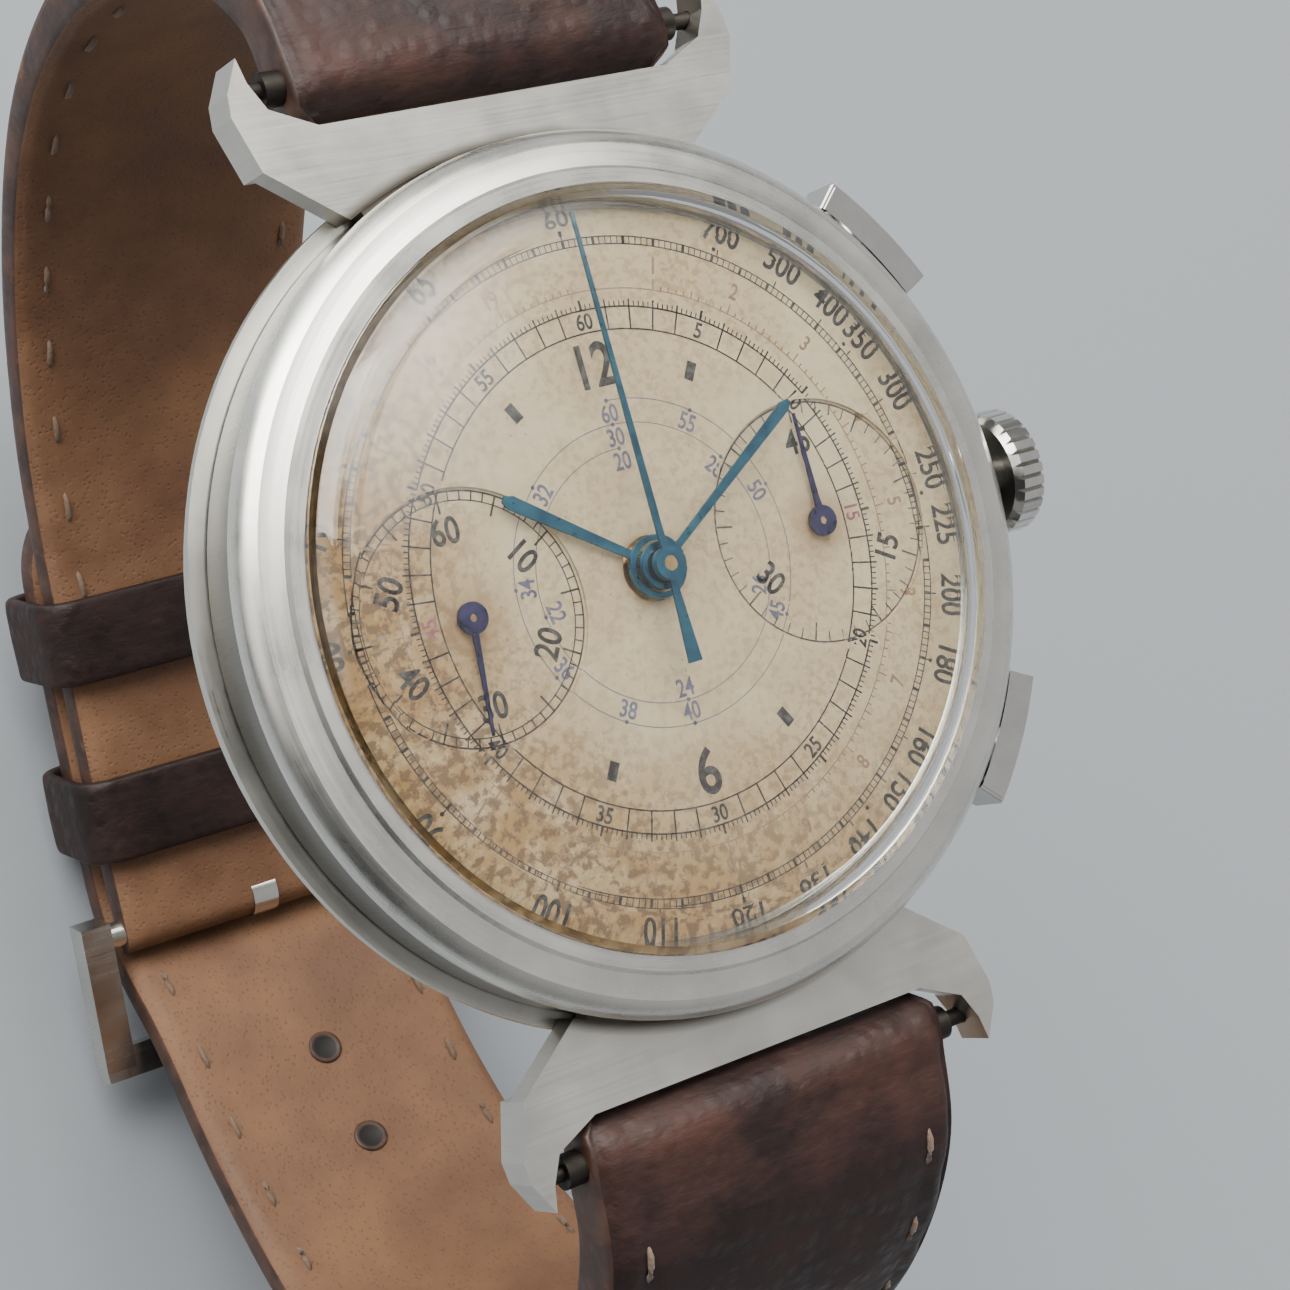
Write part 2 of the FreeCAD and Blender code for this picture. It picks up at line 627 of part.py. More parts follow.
def make_hands():
    """Hour and minute batons that widen to a cut tip, a thin centre hand and two small needles."""
    minutes = 9.5
    hour_angle = (10 + minutes / 60) * 30
    reach = size("hour_reach")
    blade = [(-0.15, 0.0), (0.15, 0.0), (0.2, reach * 0.45), (0.28, reach - 0.35), (0.13, reach),
             (-0.13, reach), (-0.28, reach - 0.35), (-0.2, reach * 0.45)]
    make_hand("hour_hand", blade, 7.35, 7.47, (1.25, 1.02, 7.3, 7.55), clock_angle=hour_angle)
    reach = size("minute_reach")
    blade = [(-0.13, 0.0), (0.13, 0.0), (0.17, reach * 0.45), (0.24, reach - 0.35), (0.1, reach),
             (-0.1, reach), (-0.24, reach - 0.35), (-0.17, reach * 0.45)]
    make_hand("minute_hand", blade, 7.76, 7.88, (0.95, 0.75, 7.7, 7.95), clock_angle=minutes * 6)
    reach = size("chrono_reach")
    tail = size("chrono_tail")
    blade = [(-0.3, -tail), (0.3, -tail), (0.16, -1.2), (0.15, 0.6), (0.07, reach), (-0.07, reach),
             (-0.15, 0.6), (-0.16, -1.2)]
    make_hand("chronograph_hand", blade, 8.2, 8.32, (0.66, 0.30, 8.12, 8.5))
    reach = size("small_reach")
    needle = [(-0.14, 0.0), (0.14, 0.0), (0.05, reach), (-0.05, reach)]
    offset = size("subdial_offset")
    pipe = (0.62, 0.15, 7.05, 7.24)
    make_hand("small_seconds_hand", needle, 7.08, 7.18, pipe, -offset, 186.0)
    make_hand("minute_counter_hand", needle, 7.08, 7.18, pipe, offset, 0.0)


# ------------------------------------------------------------------ plates and bridges

def make_main_plate():
    """The plate that carries the movement, with a recess for the motion work under the dial."""
    low, top = size("plate_low"), size("plate_top")
    body = turned("main_plate", [(size("plate_radius"), low, top)])
    recess = [("circle", 2.6, 0.0, 0.0)]
    pocket(body, recess, size("motion_floor"), top)
    pocket(body, [("circle", 2.45, *MINUTE_WHEEL)], size("motion_floor"), top)
    pocket(body, [("circle", 0.58, 0.0, 0.0)], low, size("motion_floor"))
    arbors = [("circle", 0.25, *SECONDS), ("circle", 0.25, *COUNTER)]
    pocket(body, arbors, low, top)
    jewelled = [("circle", size("jewel_radius"), *spot) for spot in (THIRD, ESCAPE, PALLET, BALANCE)]
    pocket(body, jewelled, low, low + 0.45)
    pocket(body, [("circle", 0.55, *BARREL)], low, low + 0.5)
    pocket(body, [strip([(9.1, 0.0), (16.0, 0.0)], 0.7)], low, number("stem_z") + 0.65)
    pocket(body, [strip([(11.0, 0.0), (12.5, 0.0)], 1.5)], low, top)
    for side in (1, -1):
        notch = [(9.8, 9.4 * side), (12.4, 8.6 * side), (16.0, 8.6 * side), (16.0, 13.0 * side),
                 (9.8, 13.0 * side)]
        pocket(body, [notch], low, top)
    pad(body, [("circle", 0.4, *CROWN_WHEEL)], 2.68, low)


def make_bridges():
    """Barrel bridge, train bridge and the two cocks, each standing on a foot on the main plate."""
    low, top, rim = size("bridge_low"), size("bridge_top"), number("bridge_radius")
    plate_low = size("plate_low")
    body = new_body("barrel_bridge")
    sweep = [polar(rim, -36.0) + (rim,), polar(rim, 109.0), (-1.5, 3.7), (1.6, 1.2), (5.6, -2.4), (8.6, -8.0)]
    pad(body, [sweep], low, top)
    pad(body, [sector(13.8, rim, 8.0, 32.0)], top, plate_low)
    pad(body, [sector(13.8, rim, 60.0, 108.0)], top, plate_low)
    pad(body, [sector(13.8, rim, -34.0, -14.0)], top, plate_low)
    openings = [("circle", 2.5, *CROWN_WHEEL), ("circle", 0.55, *BARREL)]
    studs = (COLUMN_WHEEL, OPERATING_PIVOT, HAMMER_PIVOT, CLICK_PIVOT)
    openings += [("circle", 0.33, *spot) for spot in studs]
    pocket(body, openings, low, top)
    pocket(body, [("circle", 0.25, *COUNTER)], low, top)
    pocket(body, [[(9.8, 9.95), (11.4, 9.2), (16.0, 9.2), (16.0, 12.5), (9.8, 12.5)]], low, top)

    body = new_body("train_bridge")
    sweep = [polar(rim, 112.0) + (rim,), polar(rim, 214.0), (-6.9, -5.1), (-5.4, -4.6), (-2.6, -5.6),
             (1.3, -1.6), (1.0, 0.9), (-2.1, 3.4)]
    pad(body, [sweep], low, top)
    pad(body, [sector(13.2, rim, 120.0, 206.0)], top, plate_low)
    pocket(body, [("circle", 0.48, 0.0, 0.0), ("circle", 0.25, *SECONDS)], low, top)
    pocket(body, [("circle", size("jewel_radius"), *spot) for spot in (THIRD, ESCAPE)], low, top)

    body = new_body("balance_cock")
    foot = (7.6, -11.2)
    pad(body, [strip([BALANCE, (3.4, -11.0), foot], 1.0)], low, top)
    pad(body, [("circle", 1.3, *BALANCE), ("circle", 1.9, *foot)], low, top)
    pad(body, [("circle", 1.9, *foot)], top, plate_low)
    pocket(body, [("circle", size("jewel_radius"), *BALANCE)], low, top)

    body = new_body("pallet_cock")
    foot = (-10.2, -9.2)
    pad(body, [strip([PALLET, foot], 0.75)], low, top)
    pad(body, [("circle", 0.9, *PALLET)], low, top)
    pad(body, [("circle", 1.2, *foot)], low, plate_low)
    pocket(body, [("circle", size("jewel_radius"), *PALLET)], low, top)

    body = new_body("chronograph_bridge")
    low, top = size("chrono_bridge_low"), size("chrono_bridge_top")
    feet = [(-3.7, -4.4), (12.6, -1.7)]
    pad(body, [strip([feet[0], CENTRE, COUNTER, feet[1]], 1.0)], low, top)
    pad(body, [("circle", 1.0, *foot) for foot in feet], low, size("bridge_low"))
    pocket(body, [("circle", size("jewel_radius"), *spot) for spot in (CENTRE, COUNTER)], low, top)


def make_jewels():
    """Pierced jewels set flush in the plate and the bridges."""
    body = new_body("jewels")
    settings = (((THIRD, ESCAPE, PALLET, BALANCE), size("plate_low"), size("plate_low") + 0.45),
                ((THIRD, ESCAPE, PALLET, BALANCE), size("bridge_low"), size("bridge_top")),
                ((CENTRE, COUNTER), size("chrono_bridge_low"), size("chrono_bridge_top")))
    for spots, low, high in settings:
        rings = []
        for spot in spots:
            rings.append(("circle", size("jewel_radius"), *spot))
            rings.append(("circle", size("jewel_bore"), *spot))
        pad(body, rings, low, high)


def make_screws():
    """Slotted screws whose heads lie on the bridges."""
    body = new_body("movement_screws")
    spots = [polar(14.6, 11.0), polar(14.6, 100.0), polar(14.6, -24.0), polar(14.3, 128.0),
             polar(14.3, 200.0), (7.6, -11.2), (-10.2, -9.2)]
    low = size("bridge_low")
    pad(body, [("circle", 0.7, *spot) for spot in spots], low - 0.35, low)
    slots = []
    for x, y in spots:
        slots.append([(x - 0.8, y - 0.1), (x + 0.8, y - 0.1), (x + 0.8, y + 0.1), (x - 0.8, y + 0.1)])
    pocket(body, slots, low - 0.36, low - 0.2)


# ------------------------------------------------------------------ going train

def make_wheel(label, spot, gear, leaves, arbor):
    """A train wheel: toothed rim with crossings, a leaved pinion and a pivoted arbor."""
    count, module, low, high, phase = gear
    leaf_count, leaf_module, leaf_low, leaf_high, leaf_phase = leaves
    root = root_radius(count, module)
    arbor_radius, arbor_low, arbor_high, bore = arbor
    body = new_body(label, *spot)
    revolve(body, steps_outline([(arbor_radius, arbor_low, arbor_high)], bore))
    hub = ("circle", arbor_radius - 0.02, 0.0, 0.0)
    pad(body, [("circle", root, 0.0, 0.0), hub], low, high)
    windows(body, 5, arbor_radius + 0.55, root - 0.35, low, high)
    teeth(body, count, module, low, high, phase)
    leaf_root = root_radius(leaf_count, leaf_module)
    if leaf_root > arbor_radius:
        pad(body, [("circle", leaf_root, 0.0, 0.0), hub], leaf_low, leaf_high)
    teeth(body, leaf_count, leaf_module, leaf_low, leaf_high, leaf_phase)
    return body


def make_train():
    """Barrel, centre, third, fourth and escape wheels, in mesh."""
    barrel_phase = 0.0
    body = turned("mainspring_barrel", [(number("barrel_module") * 36.5, 3.6, 4.65)], 0.52, *BARREL)
    root = root_radius(BARREL_TEETH, "barrel_module")
    pad(body, [("circle", root, 0.0, 0.0), ("circle", size("barrel_module") * 30.0, 0.0, 0.0)], 3.9, 4.15)
    teeth(body, BARREL_TEETH, size("barrel_module"), 3.9, 4.15, barrel_phase)
    hollow = [("circle", size("barrel_module") * 34.5, 0.0, 0.0), ("circle", 0.9, 0.0, 0.0)]
    pocket(body, hollow, 3.75, 4.52)

    pivot = number("pivot_radius")
    leaf_phase = mesh_phase(BARREL, barrel_phase, BARREL_TEETH, CENTRE, CENTRE_LEAVES)
    make_wheel("center_wheel", CENTRE, (CENTRE_TEETH, size("centre_module"), 4.80, 4.95, 0.0),
               (CENTRE_LEAVES, size("barrel_module"), 3.58, 4.3, leaf_phase), (0.45, 3.0, 6.45, 0.34))

    leaf_phase = mesh_phase(CENTRE, 0.0, CENTRE_TEETH, THIRD, THIRD_LEAVES)
    make_wheel("third_wheel", THIRD, (THIRD_TEETH, size("third_module"), 4.40, 4.52, 0.0),
               (THIRD_LEAVES, size("centre_module"), 4.65, 5.1, leaf_phase), (pivot, 3.0, 5.55, 0.0))

    leaf_phase = mesh_phase(THIRD, 0.0, THIRD_TEETH, SECONDS, FOURTH_LEAVES)
    make_wheel("fourth_wheel", SECONDS, (FOURTH_TEETH, size("fourth_module"), 4.0, 4.12, 0.0),
               (FOURTH_LEAVES, size("third_module"), 4.3, 4.65, leaf_phase), (0.14, 1.9, 7.2, 0.0))

    leaf_phase = mesh_phase(SECONDS, 0.0, FOURTH_TEETH, ESCAPE, ESCAPE_LEAVES)
    radius = number("escape_radius")
    body = new_body("escape_wheel", *ESCAPE)
    revolve(body, steps_outline([(pivot, 3.0, 5.55)]))
    pad(body, [("circle", radius * 0.82, 0.0, 0.0)], 4.72, 4.84)
    windows(body, 4, 0.65, radius * 0.66, 4.72, 4.84, 0.2)
    tooth = [(radius * 0.78, -0.22), (radius, -0.03), (radius, 0.05), (radius * 0.78, 0.12)]
    around(body, pad(body, [tooth], 4.72, 4.84, turn=heading(ESCAPE, BALANCE)), ESCAPE_TEETH)
    teeth(body, ESCAPE_LEAVES, size("fourth_module"), 3.9, 4.25, leaf_phase)
    pad(body, [("circle", root_radius(ESCAPE_LEAVES, "fourth_module") + 0.02, 0.0, 0.0)], 3.9, 4.25)


def make_escapement():
    """Pallet fork, balance wheel with staff and roller, and the hairspring."""
    line = heading(ESCAPE, BALANCE)
    body = new_body("pallet_fork", *PALLET, 0.0, line)
    pivot = number("pivot_radius")
    revolve(body, steps_outline([(pivot, 3.0, 5.55)]))
    reach = distance(PALLET, BALANCE) - 0.55
    radius = number("escape_radius")
    stone = polar(radius + 0.22, 150.0)
    pallet_x = -PALLET_DISTANCE - stone[0]
    low, high = 4.70, 4.86
    for side in (1, -1):
        arm = [(0.0, 0.0), (-0.7, 0.4 * side), (pallet_x - 0.1, stone[1] * side)]
        pad(body, [strip(arm, 0.14)], low, high)
    pad(body, [strip([(0.0, 0.0), (reach - 0.7, 0.0)], 0.16)], low, high)
    pad(body, [("circle", 0.4, 0.0, 0.0)], low, high)
    for side in (1, -1):
        prong = [(reach - 0.8, 0.0), (reach - 0.5, 0.25 * side), (reach, 0.3 * side)]
        pad(body, [strip(prong, 0.09)], low, high)

    body = turned("balance_wheel", [(pivot, 3.0, 3.6), (0.3, 3.6, 3.98), (0.2, 3.98, 4.92), (0.8, 4.92, 5.06),
                                    (pivot, 5.06, 5.55)], 0.0, *BALANCE)
    rim = size("balance_radius")
    pad(body, [("circle", rim, 0.0, 0.0), ("circle", rim - 0.45, 0.0, 0.0)], 4.0, 4.5)
    pad(body, [strip([(-number(rim) + 0.2, 0.0), (number(rim) - 0.2, 0.0)], 0.3)], 4.1, 4.35)
    weight = pad(body, [("circle", 0.28, rim - 0.32, 0.0)], 3.92, 4.56, turn=12.0)
    around(body, weight, 14)

    plain_feature("hairspring", spiral(BALANCE, 0.42, 2.5, 9, 0.05, 3.68, 3.82))
    inner = 1.1
    outer = number("barrel_module") * 34.0
    plain_feature("mainspring", spiral(BARREL, inner, outer, 11, 0.12, 3.8, 4.48))


def spiral(centre, inner, outer, turns, thickness, low, high):
    """A flat coil: a band between two spirals, as tall as the strip is wide."""
    steps = turns * 12
    sides = []
    for shift in (-thickness / 2, thickness / 2):
        points = []
        for step in range(steps + 1):
            angle = step * 30.0
            radius = inner + (outer - inner) * step / steps + shift
            points.append(Vector(*polar(radius, angle, *centre), low))
        sides.append(points)
    return face_between(*sides).extrude(Vector(0, 0, high - low))


def make_motion_work():
    """Cannon pinion, minute wheel and hour wheel, which turn the hour hand once in twelve hours."""
    body = turned("cannon_pinion", [(0.55, 5.95, 6.2), (0.73, 6.2, 7.95)], 0.47)
    leaf_root = root_radius(CANNON_LEAVES, "motion_module") + 0.03
    pad(body, [("circle", leaf_root, 0.0, 0.0), ("circle", 0.5, 0.0, 0.0)], 5.95, 6.2)
    teeth(body, CANNON_LEAVES, size("motion_module"), 5.95, 6.2)
    phase = mesh_phase(CENTRE, 0.0, CANNON_LEAVES, MINUTE_WHEEL, MINUTE_TEETH)
    root = root_radius(MINUTE_TEETH, "motion_module")
    body = turned("minute_wheel", [(root, 6.0, 6.14), (0.41, 6.14, 6.52)], 0.15, *MINUTE_WHEEL)
    teeth(body, MINUTE_TEETH, size("motion_module"), 6.0, 6.14, phase)
    hour_module = size("motion_module") * ((CANNON_LEAVES + MINUTE_TEETH) / (MINUTE_LEAVES + HOUR_TEETH))
    teeth(body, MINUTE_LEAVES, hour_module, 6.26, 6.52)
    phase = mesh_phase(MINUTE_WHEEL, 0.0, MINUTE_LEAVES, CENTRE, HOUR_TEETH)
    root = root_radius(HOUR_TEETH, hour_module)
    body = turned("hour_wheel", [(root, 6.3, 6.44), (1.0, 6.44, 7.6)], 0.78)
    teeth(body, HOUR_TEETH, hour_module, 6.3, 6.44, phase)


# ------------------------------------------------------------------ winding work

def make_winding_work():
    """Winding pinion on the stem, crown wheel, ratchet wheel on the barrel arbor, and click."""
    body = turned_x("winding_pinion", [(0.95, 11.25, 12.3)], size("stem_radius") + 0.04, 0.0, size("stem_z"))
    leaf = [(-0.16, 0.8), (0.16, 0.8), (0.07, 1.28), (-0.07, 1.28)]
    around(body, pad(body, [leaf], 11.25, 12.3, "YZ_Plane"), 13, "X_Axis")

    module = size("winding_module")
    root = root_radius(CROWN_TEETH, module)
    body = turned("crown_wheel", [(root, 2.68, 2.86), (2.0, 2.86, 3.84)], 0.45, *CROWN_WHEEL)
    pocket(body, [("circle", 1.7, 0.0, 0.0)], 2.92, 3.85)
    teeth(body, CROWN_TEETH, module, 2.68, 2.86, 0.0)

    turned("barrel_arbor", [(0.48, 2.55, 4.9), (0.3, 4.9, 5.6)], 0.0, *BARREL)
    phase = mesh_phase(CROWN_WHEEL, 0.0, CROWN_TEETH, BARREL, RATCHET_TEETH)
    root = root_radius(RATCHET_TEETH, module)
    body = turned("ratchet_wheel", [(root, 2.68, 2.86)], 0.5, *BARREL)
    teeth(body, RATCHET_TEETH, module, 2.68, 2.86, phase)

    body = new_body("click", *CLICK_PIVOT)
    tip = polar(5.98, 61.0, BARREL[0] - CLICK_PIVOT[0], BARREL[1] - CLICK_PIVOT[1])
    elbow = polar(6.6, 66.0, BARREL[0] - CLICK_PIVOT[0], BARREL[1] - CLICK_PIVOT[1])
    pad(body, [strip([(0.0, 0.0), elbow, tip], 0.2)], 2.62, 2.86)
    pad(body, [("circle", 0.6, 0.0, 0.0)], 2.62, 2.86)
    pad(body, [("circle", 0.3, 0.0, 0.0)], 2.5, 3.3)


# ------------------------------------------------------------------ chronograph work

def heart(largest, smallest):
    """A heart cam whose low point faces -Y, where the hammer meets it."""
    points = []
    parts = 16
    for part in range(parts):
        angle = -90.0 + 360.0 * part / parts
        rise = abs(((part / parts * 2) + 1) % 2 - 1)
        points.append(polar(smallest + (largest - smallest) * rise, angle))
    return points


def make_lever(label, pivot, bars, low, high, boss, stud, tab=None):
    """A flat lever with a boss and a pivot stud; its bars are lines from the pivot."""
    body = new_body(label, *pivot)
    for points, half in bars:
        local = [(x - pivot[0], y - pivot[1]) for x, y in points]
        pad(body, [strip(local, half)], low, high)
    pad(body, [("circle", boss, 0.0, 0.0)], low, high)
    stud_radius, stud_low, stud_high = stud
    pad(body, [("circle", stud_radius, 0.0, 0.0)], stud_low, stud_high)
    if tab:
        points, half, tab_low, tab_high = tab
        local = [(x - pivot[0], y - pivot[1]) for x, y in points]
        pad(body, [strip(local, half)], tab_low, tab_high)
    return body


def make_chronograph_work():
    """Column wheel, levers, the coupling train, the two heart-cam wheels and the reset hammer."""
    module = size("chrono_module")
    low, high = 2.33, 2.5
    root = root_radius(RUNNER_TEETH, module)
    pivot = number("pivot_radius")

    body = turned("driving_wheel", [(root, low, high), (0.4, high, 2.75)], 0.15, *SECONDS)
    windows(body, 5, 0.8, root - 0.3, low, high, 0.2)
    teeth(body, RUNNER_TEETH, module, low, high, 0.0)

    phase = mesh_phase(SECONDS, 0.0, RUNNER_TEETH, COUPLING_WHEEL, COUPLING_TEETH)
    root = root_radius(COUPLING_TEETH, module)
    body = turned("coupling_wheel", [(0.2, 1.75, low), (root, low, high), (0.3, high, 2.7)],
                  0.0, *COUPLING_WHEEL)
    windows(body, 4, 0.55, root - 0.25, low, high, 0.15)
    teeth(body, COUPLING_TEETH, module, low, high, phase)

    lever = make_lever("coupling_lever", SECONDS,
                       [([SECONDS, COUPLING_WHEEL, (-1.6, 4.6), (4.4, 7.2), (7.5, 9.0)], 0.4)],
                       1.95, 2.25, 0.8, (0.7, 1.8, 2.28))
    centre = (COUPLING_WHEEL[0] - SECONDS[0], COUPLING_WHEEL[1] - SECONDS[1])
    pad(lever, [("circle", 0.6, *centre)], 1.95, 2.25)
    pocket(lever, [("circle", 0.24, *centre), ("circle", 0.18, 0.0, 0.0)], 1.7, 2.3)

    root = root_radius(RUNNER_TEETH, module)
    body = turned("chrono_runner_wheel", [(pivot, 1.05, 1.5), (0.3, 1.5, low), (root, low, high),
                                          (0.3, high, 8.45)])
    windows(body, 5, 0.8, root - 0.3, low, high, 0.2)
    teeth(body, RUNNER_TEETH, module, low, high, 0.0)
    pad(body, [heart(1.15, 0.55)], 1.75, 2.05)

    counter_module = size("counter_module")
    root = root_radius(COUNTER_TEETH, counter_module)
    body = turned("minute_counter_wheel", [(pivot, 1.05, 1.5), (0.2, 1.5, low), (root, low, high),
                                           (0.14, high, 7.2)], 0.0, *COUNTER)
    windows(body, 4, 0.6, root - 0.3, low, high, 0.2)
    teeth(body, COUNTER_TEETH, counter_module, low, high, 0.0)
    pad(body, [heart(0.95, 0.45)], 1.75, 2.05)
    phase = mesh_phase(COUNTER, 0.0, COUNTER_TEETH, INTERMEDIATE, INTERMEDIATE_TEETH)
    root = root_radius(INTERMEDIATE_TEETH, counter_module)
    body = turned("intermediate_wheel", [(0.25, 2.1, low), (root, low, high), (0.25, high, 2.64)],
                  0.0, *INTERMEDIATE)
    teeth(body, INTERMEDIATE_TEETH, counter_module, low, high, phase)

    body = turned("column_wheel", [(0.45, 1.6, 1.75), (1.0, 1.75, low), (1.45, low, 2.58), (0.3, 2.58, 3.3)],
                  0.0, *COLUMN_WHEEL)
    around(body, pad(body, [sector(0.9, 1.5, -12.0, 12.0)], 1.75, low), 6)
    ratchet = [polar(1.35, -12.0), polar(1.85, -10.0), polar(1.35, 13.0)]
    around(body, pad(body, [ratchet], low, 2.58), 12)

    reach = number("pusher_y")
    tab_x = 11.2
    tab_line = [(tab_x, reach - 0.5), (tab_x, reach + 0.1)]
    make_lever("operating_lever", OPERATING_PIVOT,
               [([OPERATING_PIVOT, (12.3, 7.9), (tab_x, reach - 0.3)], 0.4),
                ([OPERATING_PIVOT, (11.0, 6.3), (10.5, 7.0)], 0.3)],
               2.62, 2.86, 0.75, (0.3, 2.45, 3.3), (tab_line, 0.22, 2.62, 5.6))
    tab_line = [(x, -y) for x, y in tab_line]
    make_lever("reset_hammer", HAMMER_PIVOT,
               [([HAMMER_PIVOT, (12.2, -8.0), (tab_x, -reach + 0.3)], 0.4),
                ([HAMMER_PIVOT, (6.5, -4.2), (0.9, -3.9), (-0.9, -3.9)], 0.45),
                ([(8.6, -4.6), (8.17, -2.6)], 0.4)],
               1.75, 2.05, 0.75, (0.3, 1.6, 3.3), (tab_line, 0.22, 1.75, 5.6))


# ------------------------------------------------------------------ strap

STRAP_THICKNESS = 3.8
TAIL_THICKNESS = 2.4
BUCKLE_SPOT = (-11.0, -41.0)        # (y, z) of the buckle's bar
LUG_SPOT = (number("bar_y"), number("bar_z"))
RUN_SLOPE = 0.2                     # rise of the straight run beside the buckle
INNER_RUN = -39.2                   # heights of its two layers where y is 0
OUTER_RUN = -42.0


def run_point(base, y):
    """A point of the straight run, where both layers of the strap lie parallel."""
    return (y, base + RUN_SLOPE * y)


# Middle lines of the two halves in the YZ plane, from the lug bar to the free end.
BUCKLE_HALF = [LUG_SPOT, (24.8, 3.3), (28.2, -0.9), (30.4, -8.0), (30.4, -16.0), (27.6, -24.0),
               (22.2, -30.4), (15.5, -35.0), run_point(INNER_RUN, 9.0), run_point(INNER_RUN, 2.0),
               run_point(INNER_RUN, -4.0), BUCKLE_SPOT]
HOLE_HALF = [(-LUG_SPOT[0], LUG_SPOT[1]), (-25.2, 3.3), (-30.2, -0.9), (-34.4, -7.6), (-36.3, -16.0),
             (-35.0, -24.5), (-30.6, -31.6), (-23.5, -37.0), (-16.9, -40.2), (-10.8, -43.7),
             run_point(OUTER_RUN, -4.0), run_point(OUTER_RUN, 4.0), (13.0, -38.9)]


def band(points, start_thickness, end_thickness, width):
    """A leather band along a smooth line in the YZ plane, thick at the lug and thin at the end."""
    middle = Part.BSplineCurve()
    middle.interpolate([Vector(0, y, z) for y, z in points])
    count = 36
    sides = ([], [])
    for step in range(count + 1):
        share = step / count
        parameter = middle.FirstParameter + (middle.LastParameter - middle.FirstParameter) * share
        place = middle.value(parameter)
        along = Vector(*middle.tangent(parameter)[0])
        normal = Vector(1, 0, 0).cross(along).normalize()
        half = (start_thickness + (end_thickness - start_thickness) * min(1.0, share * 2.2)) / 2
        sides[0].append(place + normal * half)
        sides[1].append(place - normal * half)
    face = face_between(*sides)
    face.translate(Vector(-width / 2, 0, 0))
    return face.extrude(Vector(width, 0, 0))


def bar_hole(y, z, radius, width):
    return Part.makeCylinder(radius, width, Vector(-width / 2, y, z), Vector(1, 0, 0))


def slab(corners, along):
    """A flat-sided block: a ring of corners pushed straight along a direction."""
    return Part.Face(Part.makePolygon(corners + corners[:1])).extrude(along)


def trim_strap(leather, sign):
    """Narrow a leather half towards the buckle and cut its corners clear of the hood's edge."""
    wide = number("strap_lug_width") / 2
    narrow = number("strap_width") / 2
    edge = number("hood_edge")
    front = [(wide, 10.0), (wide, -4.0), (narrow, -30.0), (narrow, -50.0)]
    ring = [Vector(x, -45.0, z) for x, z in front] + [Vector(-x, -45.0, z) for x, z in front[::-1]]
    leather = leather.common(slab(ring, Vector(0, 90.0, 0)))
    inner = number("hood_half_width") - 0.1
    corner = [(inner, edge - 2.0), (inner, edge + 0.05), (wide + 0.2, edge + 0.5), (wide + 0.2, edge - 2.0)]
    for side in (1, -1):
        ring = [Vector(x * side, y * sign, 0.0) for x, y in corner]
        leather = leather.cut(slab(ring, Vector(0, 0, 10.0)))
    return leather


def make_strap():
    """Two leather halves, each folded round its spring bar, closed at the buckle."""
    width = number("strap_lug_width")
    fold = STRAP_THICKNESS / 2
    hole = number("bar_radius") + 0.05
    for label, points, sign in (("strap_buckle_half", BUCKLE_HALF, 1), ("strap_hole_half", HOLE_HALF, -1)):
        leather = band(points, STRAP_THICKNESS, TAIL_THICKNESS, width)
        leather = leather.fuse(bar_hole(sign * LUG_SPOT[0], LUG_SPOT[1], fold, width))
        leather = leather.cut(bar_hole(sign * LUG_SPOT[0], LUG_SPOT[1], hole, width + 2))
        if sign > 0:
            end = bar_hole(BUCKLE_SPOT[0], BUCKLE_SPOT[1], TAIL_THICKNESS / 2, width)
            leather = leather.fuse(end).cut(bar_hole(BUCKLE_SPOT[0], BUCKLE_SPOT[1], 0.75, width + 2))
            slot = Part.makeBox(2.0, 4.6, 8.0, Vector(-1.0, BUCKLE_SPOT[0] - 2.5, BUCKLE_SPOT[1] - 4.0))
            leather = leather.cut(slot)
        else:
            prong_slot = Part.makeBox(2.0, 5.6, 8.0, Vector(-1.0, BUCKLE_SPOT[0] - 4.4, BUCKLE_SPOT[1] - 6.0))
            leather = leather.cut(prong_slot)
        plain_feature(label, trim_strap(leather, sign).removeSplitter())


